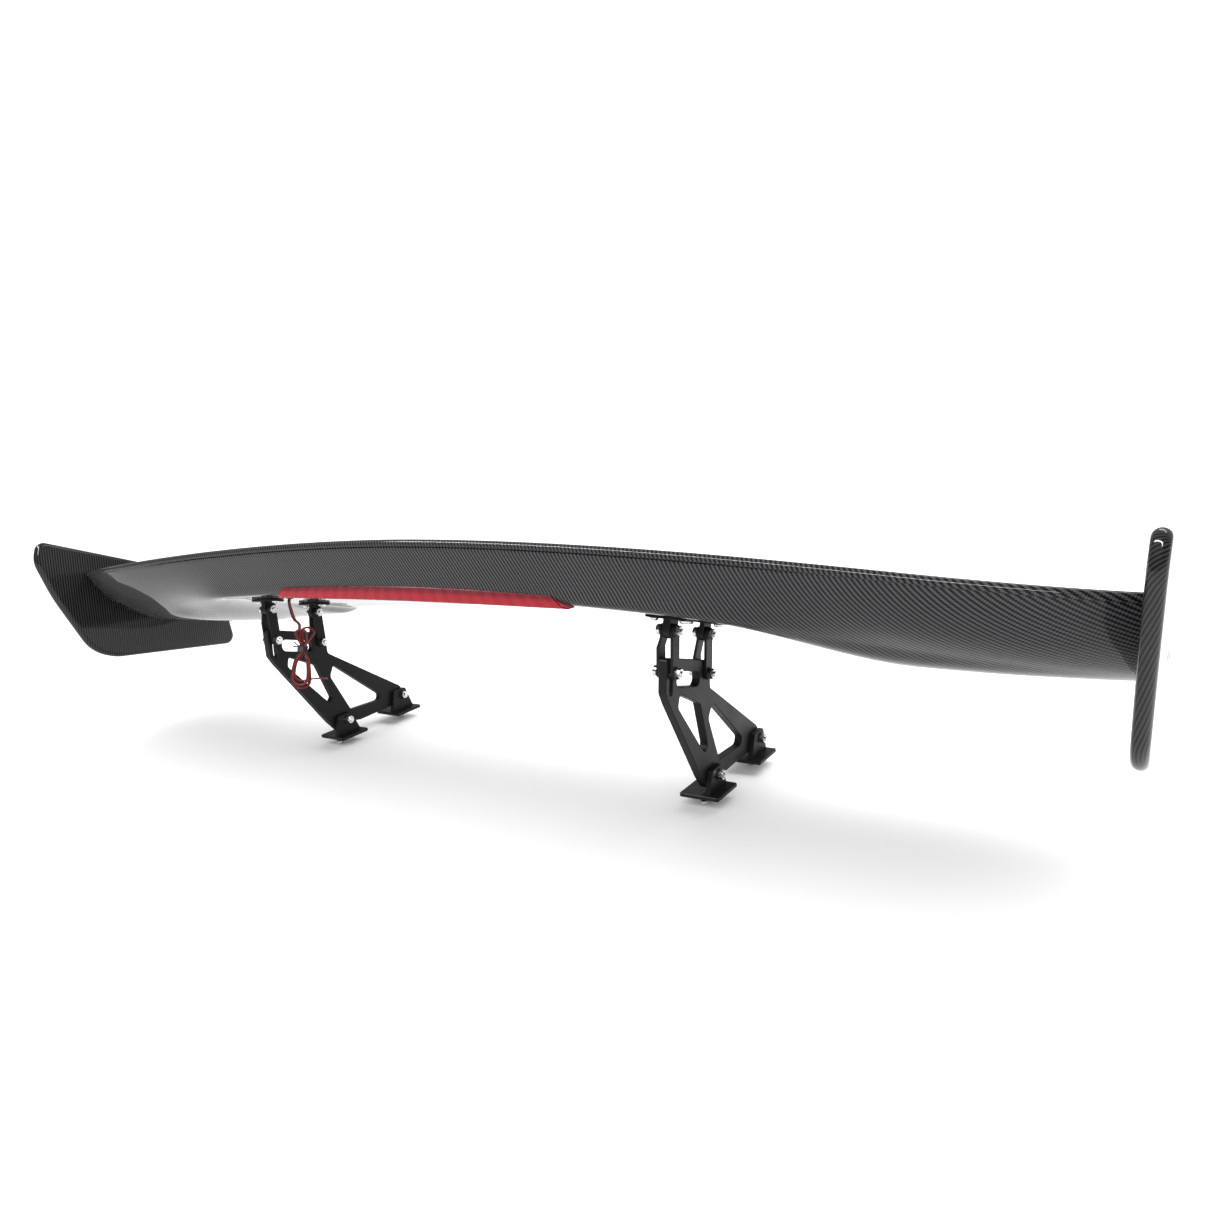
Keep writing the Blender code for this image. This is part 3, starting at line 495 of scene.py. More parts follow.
def turned(profile, matrix, sides=32, material=0):
    """bmesh of a closed turned profile of (radius, height) pairs, top to bottom, about Z."""
    builder = bmesh.new()
    rows = []
    for radius, height in profile:
        if radius < 0.001:
            rows.append([builder.verts.new((0.0, 0.0, height * MM))])
        else:
            rows.append([builder.verts.new((u * MM, v * MM, height * MM))
                         for u, v in circle((0.0, 0.0), radius, sides)])
    for row, following in zip(rows, rows[1:]):
        for k in range(sides):
            m = (k + 1) % sides
            corners = [row[k % len(row)], row[m % len(row)],
                       following[m % len(following)], following[k % len(following)]]
            distinct = list(dict.fromkeys(corners))
            if len(distinct) > 2:
                builder.faces.new(distinct)
    return placed(builder, matrix, material)


def hex_prism(low, high, radius, matrix, material=0, bore=0.0):
    """bmesh of a hexagon nut or head with rounded-off corners, about Z."""
    builder = bmesh.new()
    sides = 36
    flat = radius * math.cos(math.radians(30.0))

    def ring(height, limit):
        points = []
        for k in range(sides):
            angle = 2.0 * math.pi * k / sides
            wedge = (angle + math.radians(30.0)) % math.radians(60.0) - math.radians(30.0)
            reach = min(flat / math.cos(wedge), limit)
            points.append(builder.verts.new((reach * math.cos(angle) * MM,
                                             reach * math.sin(angle) * MM, height * MM)))
        return points

    cut = 0.55
    middle = flat * 1.01
    rows = [ring(low, middle), ring(low + cut, radius), ring(high - cut, radius), ring(high, middle)]
    if bore > 0.0:
        for height in (high, low):
            rows.append([builder.verts.new((u * MM, v * MM, height * MM))
                         for u, v in circle((0.0, 0.0), bore, sides)])
        rows.append(rows[0])
    else:
        builder.faces.new(rows[0][::-1])
        builder.faces.new(rows[-1])
    for row, following in zip(rows, rows[1:]):
        for k in range(sides):
            m = (k + 1) % sides
            builder.faces.new((row[k], row[m], following[m], following[k]))
    return placed(builder, matrix, material)


def catmull(points, steps):
    out = []
    last = len(points) - 1
    for i in range(last):
        p0 = points[max(i - 1, 0)]
        p1 = points[i]
        p2 = points[i + 1]
        p3 = points[min(i + 2, last)]
        for k in range(steps):
            t = k / steps
            out.append(tuple(
                0.5 * (2 * p1[c] + (p2[c] - p0[c]) * t
                       + (2 * p0[c] - 5 * p1[c] + 4 * p2[c] - p3[c]) * t * t
                       + (3 * p1[c] - p0[c] - 3 * p2[c] + p3[c]) * t ** 3)
                for c in range(len(p1))))
    out.append(tuple(points[-1]))
    return out


# ---------------------------------------------------------------- blade

def blend(low, high, value):
    t = min(max((value - low) / (high - low), 0.0), 1.0)
    return t * t * (3.0 - 2.0 * t)


def mix(a, b, t):
    return a + (b - a) * t


def arch_drop(x):
    return ARCH * (abs(x) / SPAN_HALF) ** ARCH_POWER


def edge_sweep(x):
    return TIP_SWEEP * max((abs(x) / SPAN_HALF - SWEEP_START) / (1.0 - SWEEP_START), 0.0) ** 3.5


def underside(y):
    return UNDERSIDE_POINT[1] - math.tan(PITCH) * (y - UNDERSIDE_POINT[0])


def belly_rise(x):
    """Read the belly's rise at x from a smooth curve through its table."""
    known = catmull(BELLY_RISE, 6)
    for (x0, rise0), (x1, rise1) in zip(known, known[1:]):
        if abs(x) <= x1:
            return mix(rise0, rise1, max(abs(x) - x0, 0.0) / (x1 - x0))
    return known[-1][1]


def blade_section(x, steps=8):
    """Closed section at distance x from mid span, as (y, z): tail, belly, nose, top, lip."""
    deep = blend(BELLY_START, BELLY_END, abs(x))
    tail_y = EDGE_Y + edge_sweep(x)
    tail = [(1.5, -12, 4, -12), (4.5, -24, 14, -30), (10, -44, 34, -54), (15.8, -61, 64, -78)]
    points = [(tail_y + mix(a, c, deep), EDGE_Z + mix(b, d, deep)) for a, b, c, d in tail]
    rise = belly_rise(x)
    points.append((mix(-75.0, tail_y + 101.0, deep),
                   mix(underside(-75.0), 212.0, deep) + 0.4 * deep * rise))
    for mid_y, tip_y, tip_z, share in ((-20.0, 74.0, 198.5, 0.0), (50.0, 106.0, 192.0, 0.6)):
        points.append((mix(mid_y, tip_y, deep),
                       mix(underside(mid_y), tip_z, deep) + mix(share, 1.0, deep) * rise))
    nose = [(118, 187.5, 130, 196, 1.0), (140, 195, 139, 207, 0.6), (128, 213, 127, 222, 0.2),
            (70, 236, 80, 238, 0.0), (0, 252, 30, 254, 0.0)]
    points += [(mix(a, c, deep), mix(b, d, deep) + share * rise) for a, b, c, d, share in nose]
    upper = [(60, 268, 42, 274), (30, 288, 20, 294), (13, EDGE_Z - 7, 9.5, EDGE_Z - 7)]
    points += [(tail_y + mix(a, c, deep), mix(b, d, deep)) for a, b, c, d in upper]
    lip = []
    for degrees in range(0, 201, 20):
        angle = math.radians(degrees)
        lip.append((tail_y + LIP_RADIUS * (1.0 + math.cos(angle)),
                    EDGE_Z + LIP_RADIUS * (math.sin(angle) - 1.0)))
    # the bead stands proud of the face on a narrow groove
    lip += [(tail_y + 2.6, EDGE_Z - 7.7), (tail_y + mix(1.4, 2.8, deep), EDGE_Z - 8.5)]
    return [(y, z - arch_drop(x)) for y, z in catmull(points, steps) + lip]


def span_point(share, y, z):
    return Vector((share * (BLADE_END + PLATE_TILT * (z - END_HEIGHT)), y, z)) * MM


def stripes_at(x):
    """Stripes per mm along the span at x."""
    return mix(STRIPES_ALONG, STRIPES_AT_TIP, blend(DRAWN_FROM, 720.0, x))


def fall_at(x):
    """Stripes per mm down the chord at x."""
    return mix(STRIPES_DOWN, DOWN_AT_TIP, blend(DRAWN_FROM, 720.0, x))


def lengths(points):
    """Distance walked at each point of a closed outline, with the whole length last."""
    walked = [0.0]
    for before, after in zip(points, points[1:] + points[:1]):
        walked.append(walked[-1] + math.dist(before, after))
    return walked


def tows(phase, level):
    """Tow numbers both ways from the count of stripes and of the lines square to them."""
    return 2.0 * (phase + CROSSINGS * level), 2.0 * (CROSSINGS * level - phase)


def loft(rings, matrix, layer_name=None, uv_of=None):
    """bmesh of a capped tube through equal rings.

    uv_of(band, ring, point, start) gives a corner's UV in the face of that band that starts at
    the start point; a cap has no band.  A point number may be one past the last.
    """
    builder = bmesh.new()
    layer = builder.loops.layers.uv.new(layer_name) if layer_name else None
    rows = [[builder.verts.new(matrix @ point) for point in ring] for ring in rings]
    count = len(rows[0])
    for r in range(len(rows) - 1):
        for k in range(count):
            m = (k + 1) % count
            face = builder.faces.new((rows[r][k], rows[r][m], rows[r + 1][m], rows[r + 1][k]))
            if layer:
                corners = ((r, k), (r, k + 1), (r + 1, k + 1), (r + 1, k))
                for loop, (i, j) in zip(face.loops, corners):
                    loop[layer].uv = uv_of(r, i, j, k)
    for index, order in ((0, -1), (len(rows) - 1, 1)):
        cap = builder.faces.new(rows[index][::order])
        if layer:
            for loop in cap.loops:
                loop[layer].uv = uv_of(None, index, rows[index].index(loop.vert), 0)
    bmesh.ops.recalc_face_normals(builder, faces=builder.faces)
    return builder


def light_ring(share, profile, grow):
    """The light's profile at a share of its half length, following the blade's arch."""
    ring = []
    for y, z, hang in profile:
        half = LIGHT_TOP + LIGHT_SLANT * (LIGHT_TOP_Z - z) + grow
        x = share * half
        sag = LIGHT_SAG * hang * (1.0 - 0.8 * (x / LIGHT_SAG_HALF) ** 2)
        ring.append(Vector((x, y, z - sag - arch_drop(x))) * MM)
    return ring


def make_blade():
    shares = [2.0 * k / BLADE_STATIONS - 1.0 for k in range(BLADE_STATIONS + 1)]
    rings, uvs = [], []
    counted = 0.0
    before = -BLADE_END
    for share in shares:
        x = share * BLADE_END
        counted += (stripes_at(x) + stripes_at(before)) / 2.0 * (x - before)
        before = x
        section = blade_section(x)
        rings.append([span_point(share, y, z) for y, z in section])
        walked = lengths(section)
        uvs.append([[tows(counted + fall_at(x) * w, -STRIPES_DOWN * x + stripes_at(x) * w)
                     for w in (v, v - walked[-1])] for v in walked])
    builder = loft(rings, ROW, "weave", lambda band, i, j, start: uvs[i][j][start >= NOSE_POINT])
    blade = finish_mesh("carbon_blade", builder, None, CARBON)
    recess = [(-125.0, 258.4, 0.0), (-125.0, 234.0, 0.0), (-87.0, 234.0, 0.0), (-87.0, 258.4, 0.0)]
    cutter_rings = [light_ring(2.0 * k / LIGHT_STATIONS - 1.0, recess, 0.4)
                    for k in range(LIGHT_STATIONS + 1)]
    cutter = finish_mesh("recess_cutter", loft(cutter_rings, ROW), None, CARBON)
    step = blade.modifiers.new("Recess", "BOOLEAN")
    step.operation = "DIFFERENCE"
    step.solver = "EXACT"
    step.object = cutter
    bpy.context.view_layer.update()
    graph = bpy.context.evaluated_depsgraph_get()
    shaped = bpy.data.meshes.new_from_object(blade.evaluated_get(graph), preserve_all_data_layers=True,
                                             depsgraph=graph)
    blade.modifiers.clear()
    blade.data = shaped
    bpy.data.objects.remove(cutter)
    for polygon in shaped.polygons:
        polygon.use_smooth = True
    shaped.set_sharp_from_angle(angle=math.radians(38.0))
    return adopt(blade, "wing", ["wing_blade"])


# ---------------------------------------------------------------- end plates

def plate_tilt(sign, x):
    """Frame of an end plate: x measured outwards from the blade's end on either side."""
    pivot = ROW @ shift(sign * (BLADE_END + x), 0.0, END_HEIGHT)
    tilt = pivot @ Matrix.Rotation(sign * math.atan(PLATE_TILT), 4, "Y")
    return tilt @ shift(0.0, 0.0, -END_HEIGHT)


def inward_normals(outline):
    """Unit normals that point into a closed outline."""
    count = len(outline)
    area = sum(a[0] * b[1] - b[0] * a[1] for a, b in zip(outline, outline[1:] + outline[:1]))
    normals = []
    for k in range(count):
        along = Vector(outline[(k + 1) % count]) - Vector(outline[k - 1])
        along.normalize()
        normals.append(Vector((-along.y, along.x)) * (1.0 if area > 0.0 else -1.0))
    return normals


def make_end_plate(side, sign):
    """A slab whose rim is a full half round, with its cloth drawn round the rim."""
    outline = rounded(PLATE_OUTLINE, PLATE_CORNERS, 14)
    normals = inward_normals(outline)
    half = PLATE_THICKNESS / 2.0
    matrix = plate_tilt(sign, GAP + half)
    along, down = PLATE_STRIPES[side]
    profile = [(PLATE_RIM + 6.0, -half, 0.0), (PLATE_RIM + 0.8, -half, 0.0)]
    steps = 14
    for k in range(steps + 1):
        angle = math.pi * k / steps
        profile.append((PLATE_RIM * (1.0 - math.sin(angle)), -half * math.cos(angle),
                        half * angle))
    profile += [(PLATE_RIM + 0.8, half, 0.0), (PLATE_RIM + 6.0, half, 0.0)]

    def cloth(band, ring, point, _):
        """Weave count at a corner; on the rim the cloth runs on outwards."""
        inset, _, walked = profile[ring]
        at, normal = outline[point % len(outline)], normals[point % len(outline)]
        on_rim = band is not None and 2 <= band < 2 + steps
        move = PLATE_RIM - walked if on_rim else inset
        y = at[0] + normal.x * move
        z = at[1] + normal.y * move
        return tows(along * y + down * z, along * z - down * y)

    rings = [[Vector((sign * x, p[0] + n.x * inset, p[1] + n.y * inset)) * MM
              for p, n in zip(outline, normals)] for inset, x, _ in profile]
    builder = loft(rings, matrix, "weave", cloth)
    finish_mesh("carbon_plate_" + side, builder, "wing", PLATE_CARBON, [side + "_end_plate"])
    for index, (y, z) in PLATE_SCREWS.items():
        outward = matrix @ shift(0.0, y, z)
        outward = outward @ Matrix.Rotation(sign * math.radians(90.0), 4, "Y")
        head = half + 0.05
        profile_head = [(0.0, head - 1.4), (1.9, head - 1.4), (1.9, head + 0.08), (4.6, head + 0.08),
                        (4.8, head), (2.2, head - 2.4), (2.2, -16.0), (0.0, -16.0)]
        name = "plate_screw_%s_%s" % (side, index)
        finish_mesh(name, turned(profile_head, outward), "wing", OXIDE,
                    ["%s_end_plate_screw_%s" % (side, index)])


# ---------------------------------------------------------------- brake light

def make_brake_light():
    """The lens, rounded on its edges, with a dark band over a bright one."""
    outer = [(-103.4, 258.0, 0.0), (-104.2, 257.3, 0.0), (-104.7, 254.6, 0.3), (-104.9, 252.0, 0.6),
             (-104.6, 250.0, 0.8), (-103.9, 248.4, 0.95), (-102.4, 247.2, 1.0), (-99.8, 246.2, 1.0),
             (-97.0, 245.6, 1.0), (-92.0, 245.2, 0.7), (-88.0, 244.9, 0.4), (-87.4, 245.4, 0.4),
             (-87.4, 248.0, 0.0), (-96.4, 251.6, 0.0), (-98.4, 258.0, 0.0)]
    walked = lengths([point[:2] for point in outer])
    rings, uvs = [], []
    for k in range(LIGHT_STATIONS + 1):
        share = 2.0 * k / LIGHT_STATIONS - 1.0
        rings.append(light_ring(share, outer, 0.0))
        uvs.append([(share * LIGHT_TOP, v) for v in walked])
    builder = loft(rings, ROW, "lens", lambda band, i, j, start: uvs[i][j])
    finish_mesh("lamp_lens", builder, "wing", RED_LENS, ["brake_light_lens"],
                30.0)


# ---------------------------------------------------------------- stands

def stand_matrix(sign):
    """Stand frame: x across the plate, y forwards, z up along the leaning plate."""
    move = ROW @ shift(sign * STAND_X, 0.0, 0.0)
    return move @ Matrix.Rotation(sign * LEAN, 4, "Y")


def turned_about(centre, point, angle):
    dy = point[0] - centre[0]
    dz = point[1] - centre[1]
    return (centre[0] + dy * math.cos(angle) - dz * math.sin(angle),
            centre[1] + dy * math.sin(angle) + dz * math.cos(angle))


def slot_outline():
    """Arc slot about the front lower bolt, which the rear lower bolt slides in."""
    steps = 10
    centre = Vector(FRONT_LOW)
    path = [turned_about(FRONT_LOW, REAR_LOW, SLOT_RANGE * k / steps) for k in range(steps + 1)]
    arms = [(Vector(point) - centre) for point in path]
    outer = [tuple(centre + arm * (1.0 + HOLE_RADIUS / arm.length)) for arm in arms]
    inner = [tuple(centre + arm * (1.0 - HOLE_RADIUS / arm.length)) for arm in arms]
    crown = sorted((p for p in circle(path[0], HOLE_RADIUS, 24) if p[1] > path[0][1] + 1.0),
                   key=lambda p: -p[0])
    base = sorted((p for p in circle(path[-1], HOLE_RADIUS, 24) if p[1] < path[-1][1] - 1.0),
                  key=lambda p: p[0])
    return crown + outer + base + inner[::-1]


def make_frame(side, sign):
    loops = [rounded(FRAME_OUTLINE, FRAME_CORNERS)]
    loops += [rounded(points, radii, 8) for points, radii in FRAME_WINDOWS]
    loops.append(slot_outline())
    loops.append(circle(FRONT_LOW, HOLE_RADIUS))
    loops += [circle(pivot, HOLE_RADIUS) for pivot in FOOT_PIVOTS.values()]
    builder = slab(loops, STAND_THICKNESS, stand_matrix(sign))
    finish_mesh("stand_plate_" + side, builder, "stands", BLACK, [side + "_stand_frame"])


def above(point):
    return (point[0] + LINK_RISE[0], point[1] + LINK_RISE[1])


def step_link(builder, matrix, low_z, high_z):
    """Bend a link sideways towards +X in a straight step between two heights."""
    back = matrix.inverted()
    for height in (low_z, high_z):
        everything = builder.verts[:] + builder.edges[:] + builder.faces[:]
        bmesh.ops.bisect_plane(builder, geom=everything, dist=0.00001,
                               plane_co=matrix @ (Vector((0.0, 0.0, height)) * MM),
                               plane_no=matrix.to_3x3() @ Vector((0.0, 0.0, 1.0)))
    aside = matrix.to_3x3() @ Vector((1.0, 0.0, 0.0))
    for vert in builder.verts:
        height = (back @ vert.co).z / MM
        share = min(max((height - low_z) / (high_z - low_z), 0.0), 1.0)
        vert.co += aside * (JOGGLE * share * MM)


def make_links(side, sign, end, body):
    low = LOWER_BOLTS[end]
    reach = CLASP[end] + LINK_THICKNESS / 2.0
    for face, offset in (("inner", -sign * reach), ("outer", sign * reach)):
        matrix = stand_matrix(sign) @ shift(offset, 0.0, 0.0)
        loops = [capsule(low, above(low), LINK_WIDTH / 2.0), circle(low, HOLE_RADIUS, 20),
                 circle(above(low), HOLE_RADIUS, 20)]
        builder = slab(loops, LINK_THICKNESS, matrix, 0.45)
        if offset < 0.0:
            first, last = JOGGLE_HEIGHTS[end]
            step_link(builder, matrix, low[1] + first, low[1] + last)
        name = "%s_%s_link_%s" % (side, end, face)
        finish_mesh("strap_" + name, builder, body, BLACK, [name])


def washer(low, high, radius, matrix, material=1, bore=3.1):
    edge = 0.25
    profile = [(bore, high), (radius - edge, high), (radius, high - edge), (radius, low + edge),
               (radius - edge, low), (bore, low), (bore, high)]
    return turned(profile, matrix, 32, material)


def cross_bolt(name, sign, point, left, right, body):
    """Bolt across a stand: socket head and washer on -X, washer, nut and thread on +X."""
    matrix = stand_matrix(sign) @ shift(0.0, point[0], point[1])
    matrix = matrix @ Matrix.Rotation(math.radians(90.0), 4, "Y")
    parts = [washer(right + 0.1, right + 1.3, 6.4, matrix),
             hex_prism(right + 1.4, right + 5.6, 5.7, matrix, 0, 2.9)]
    thread = []
    top, bottom = right + 7.4, right + 1.0
    turns = 6
    for k in range(turns * 2 + 1):
        height = mix(top - 0.6, bottom, k / (turns * 2.0))
        thread.append((2.9 if k % 2 == 0 else 2.62, height))
    shank = [(0.0, top), (2.3, top)] + thread
    shank += [(2.85, left - 0.3), (0.0, left - 0.3)]
    parts.append(turned(shank, matrix, 24))
    parts.append(washer(left - 1.3, left - 0.1, 6.4, matrix))
    base = left - 1.3
    head = [(2.2, base - 2.2), (2.2, base - 4.5), (2.5, base - 4.7), (4.8, base - 4.7),
            (5.4, base - 4.1), (5.5, base - 0.1), (5.4, base), (0.0, base)]
    parts.append(turned([(0.0, base - 2.2)] + head, matrix, 32))
    finish_mesh("bolt_" + name, merged(parts), body, [BRIGHT, OXIDE], [name])


def bracket_matrix(sign, low):
    high = above(low)
    matrix = stand_matrix(sign) @ shift(0.0, high[0], high[1])
    return matrix @ Matrix.Rotation(-PITCH, 4, "X")


def flat_slab(loops, thickness, matrix, chamfer):
    """A slab thick along Z; the loops are (x, y)."""
    turned_loops = [[(y, x) for x, y in loop] for loop in loops]
    lie = Matrix(((0, 0, 1, 0), (0, 1, 0, 0), (1, 0, 0, 0), (0, 0, 0, 1)))
    builder = slab(turned_loops, thickness, matrix @ lie, chamfer)
    bmesh.ops.recalc_face_normals(builder, faces=builder.faces)
    return builder


def rectangle(cx, cy, width, depth, radius, steps=6):
    w, d = width / 2.0, depth / 2.0
    return rounded([(cx - w, cy - d), (cx + w, cy - d), (cx + w, cy + d), (cx - w, cy + d)],
                   [radius] * 4, steps)


def make_bracket(side, sign, end):
    """Base plate under the blade with the lug that the links clasp, and its screws."""
    low = LOWER_BOLTS[end]
    matrix = bracket_matrix(sign, low)
    name = "%s_%s_bracket" % (side, end)
    base_z = LUG_RISE - 1.5
    lift = matrix @ shift(0.0, 0.0, base_z)
    loops = [rectangle(0.0, 0.0, 45.0, 20.0, 2.5)]
    loops += [circle((x, 0.0), 2.5, 20) for x in (-BRACKET_SCREW_X, BRACKET_SCREW_X)]
    parts = [flat_slab(loops, 3.0, lift, 0.4)]
    outline = [p for p in circle((0.0, 0.0), 8.0, 48, math.pi) if p[1] <= 0.01]
    outline += [(8.6, LUG_RISE - 3.4), (10.0, LUG_RISE - 2.4), (-10.0, LUG_RISE - 2.4),
                (-8.6, LUG_RISE - 3.4)]
    aside = matrix @ shift(JOGGLE / 2.0, 0.0, 0.0)
    thickness = 2.0 * (CLASP[end] - GAP) - JOGGLE
    parts.append(slab([outline, circle((0.0, 0.0), HOLE_RADIUS)], thickness, aside, 0.4))
    finish_mesh("seat_" + name, merged(parts), "wing", BLACK, [name])
    for index, x in enumerate((-BRACKET_SCREW_X, BRACKET_SCREW_X)):
        outer = (index == 1) == (sign > 0)
        label = "%s_screw_%s" % (name, "outer" if outer else "inner")
        down = LUG_RISE - 3.0
        at = matrix @ shift(x, 0.0, 0.0)
        screw = [(0.0, LUG_RISE + 9.0), (2.1, LUG_RISE + 9.0), (2.1, down), (4.9, down),
                 (4.9, down - 0.6), (4.4, down - 1.8), (3.3, down - 2.7), (2.0, down - 3.0),
                 (1.7, down - 1.6), (0.0, down - 1.5)]
        finish_mesh("screw_" + label, turned(screw, at, 28), "wing", BRIGHT, [label])


def make_foot(side, sign, end):
    """Level sole with an upright tab bolted to the frame's +X face, and its ground bolt."""
    pivot = FOOT_PIVOTS[end]
    centre, top = FOOT_BASES[end]
    name = "%s_%s_foot" % (side, end)
    level = ROW @ shift(sign * STAND_X, 0.0, 0.0)
    lift = level @ shift(0.0, 0.0, top - SOLE_THICKNESS / 2.0)
    bolt_y = GROUND_BOLTS[end]
    loops = [rectangle(0.0, centre, SOLE_WIDTH, SOLE_WIDTH, 2.2), circle((0.0, bolt_y), 3.2, 24)]
    parts = [flat_slab(loops, SOLE_THICKNESS, lift, 0.5)]
    tab_x = STAND_THICKNESS / 2.0 + GAP + TAB_THICKNESS / 2.0
    matrix = stand_matrix(sign) @ shift(tab_x, 0.0, 0.0)
    y, z = pivot
    floor = top - 1.5
    tab = [(centre - 21.0, floor), (centre + 21.0, floor), (y + 7.5, z + 9.5), (y - 16.0, z + 9.5)]
    corners = rounded(tab, [0.4, 0.4, 3.5, 3.5], 6)
    parts.append(slab([corners, circle(pivot, HOLE_RADIUS)], TAB_THICKNESS, matrix, 0.5))
    finish_mesh("shoe_" + name, merged(parts), name, BLACK, [name])
    spot = level @ shift(0.0, bolt_y, 0.0)
    stem = [(0.0, top - 0.3), (2.9, top - 0.3), (2.9, 6.0), (2.6, 5.7), (2.9, 5.4), (2.6, 5.1),
            (2.9, 4.8), (2.9, 4.0), (0.0, 4.0)]
    under = top - SOLE_THICKNESS
    bolt = [turned(stem, spot, 24, 1), washer(under - 1.3, under - 0.1, 5.2, spot, 0),
            hex_prism(6.1, under - 1.4, 4.9, spot, 0, 2.9)]
    dome = [(0.0, 4.6), (4.6, 4.6), (4.9, 4.2), (4.9, 1.6), (4.2, 0.5), (3.0, 0.0), (0.0, 0.0)]
    bolt.append(turned(dome, spot, 28))
    finish_mesh("stud_" + name, merged(bolt), name, [BRIGHT, OXIDE], [name + "_ground_bolt"])


def make_stand(side, sign):
    half = STAND_THICKNESS / 2.0
    make_frame(side, sign)
    for end, pivot in FOOT_PIVOTS.items():
        cross_bolt("%s_%s_foot_bolt" % (side, end), sign, pivot, -half,
                   half + GAP + TAB_THICKNESS, "stands")
        make_foot(side, sign, end)
    for end, low in LOWER_BOLTS.items():
        body = side + "_rear_links" if end == "rear" else "stands"
        make_links(side, sign, end, body)
        clasp = CLASP[end] + LINK_THICKNESS
        for level, point, near in (("lower", low, -clasp), ("upper", above(low), JOGGLE - clasp)):
            cross_bolt("%s_%s_%s_bolt" % (side, end, level), sign, point, near, clasp, body)
        make_bracket(side, sign, end)


# ---------------------------------------------------------------- lamp lead

def hank_frame():
    """Frame of the tied hank: z up along it, y across its loops."""
    up = (Vector(HANK_TOP) - Vector(HANK_BOTTOM)).normalized()
    across = Vector(HANK_FACING)
    across = (across - up * across.dot(up)).normalized()
    through = across.cross(up)
    middle = (Vector(HANK_TOP) + Vector(HANK_BOTTOM)) / 2.0 * MM
    turn = Matrix((through, across, up)).transposed().to_4x4()
    return ROW @ Matrix.Translation(middle) @ turn


def bow(centre_z, radius, side, through, up, centre=0.0):
    """Five points of a half turn of a loop, from the -side across to the +side."""
    points = []
    for step in range(5):
        angle = math.pi * step / 4.0
        points.append((through, centre - side * radius * math.cos(angle),
                       centre_z + up * radius * math.sin(angle)))
    return points


def core_route(side):
    """Centreline of one core, in metres: down from the blade, the hank's turns, the tail."""
    x, y = LEAD_EXIT
    skin_z = underside(y) - arch_drop(x)
    spot = ROW @ shift(x, y, skin_z) @ Matrix.Rotation(-PITCH, 4, "X")
    hank = hank_frame()
    aside = Vector((0.80, 0.60, 0.0)) * (CORE_DIAMETER * 0.52 * side)
    run = [spot @ ((Vector((0.0, 0.0, h)) + aside * 0.8) * MM) for h in (6.0, 1.5, -3.0, -8.0)]
    run += [ROW @ ((Vector((x - 2.8, y + 1.0, skin_z - 20.0)) + aside) * MM),
            ROW @ ((Vector((x - 2.2, y + 3.2, skin_z - 31.0)) + aside) * MM)]
    # hank points: (through, across, up) in mm; each turn is a top ear, the tie and a lower loop
    half = (Vector(HANK_TOP) - Vector(HANK_BOTTOM)).length / 2.0
    tie = half - TIE_BELOW_TOP
    turns = [(-2.6, 7.8, 11.4, 3.6), (2.8, 7.0, 10.0, -2.4), (0.2, 7.4, 8.4, 0.0)]
    slots = [(-2.2, -2.8), (2.0, 2.8), (-2.2, 0.0), (2.0, 0.0), (-2.2, 2.8)]
    points = [(0.4, -6.5, half + 2.0), (-1.4, -6.4, half - 9.0)]
    for index, (lean, top_r, low_r, ear) in enumerate(turns):
        s = 1.0 if index % 2 == 0 else -1.0
        deep = -half + 1.4 + 5.2 * index
        inn = slots[2 * index]
        points += [(inn[0], inn[1], tie + 4.0), (inn[0], inn[1], tie - 4.0),
                   (mix(inn[0], lean, 0.6), -s * low_r * 0.75, tie - 16.0)]
        points += bow(deep + low_r, low_r, s, lean, -1.0)
        if index == len(turns) - 1:
            break
        out = slots[2 * index + 1]
        points += [(mix(out[0], lean, 0.6), s * low_r * 0.75, tie - 16.0),
                   (out[0], out[1], tie - 4.0), (out[0], out[1], tie + 4.0)]
        points += bow(half - 1.0 - top_r - 2.5 * index, top_r, -s, lean * 1.3, 1.0, ear)
    # the free end leaves to the right from the last lower loop
    points = points[:-2] + [(0.6, 7.0, points[-3][2] + 1.2), (0.9, 15.0, -25.5), (1.0, 24.0, -24.0),
                            (1.0, 32.5 + 1.5 * side, -23.0)]
    # the two cores lie side by side, one a little behind the other
    beside = Vector((0.42, 0.50, 0.16)) * (CORE_DIAMETER * 1.05 * side)
    flat = [hank @ ((Vector(p) + beside) * MM) for p in points]
    return catmull([tuple(p) for p in run + flat], 6)


def make_tie():
    """Black wire tie round the hank, with its two twisted ends."""
    half = (Vector(HANK_TOP) - Vector(HANK_BOTTOM)).length / 2.0
    spot = hank_frame() @ shift(0.0, 0.0, half - TIE_BELOW_TOP)
    oval = spot @ Matrix.Diagonal((0.95, 1.15, 1.0, 1.0))
    parts = []
    for height in (-3.2, -1.6, 0.0, 1.6, 3.2):
        ring = [(5.0 + 0.9 * math.cos(a), height + 0.9 * math.sin(a))
                for a in (math.radians(45.0 * k) for k in range(9))]
        parts.append(turned(ring, oval, 24))
    for lean, tall in ((-52.0, 10.0), (-88.0, 9.0)):
        end = spot @ shift(0.5, -4.0, 2.0)
        end = end @ Matrix.Rotation(math.radians(-lean), 4, "X")
        parts.append(turned([(0.0, tall), (0.7, tall - 0.3), (0.8, tall - 1.0), (0.8, 0.0),
                             (0.0, 0.0)], end, 12))
    return finish_mesh("hank_tie", merged(parts), "wing", BLACK_WIRE, [])


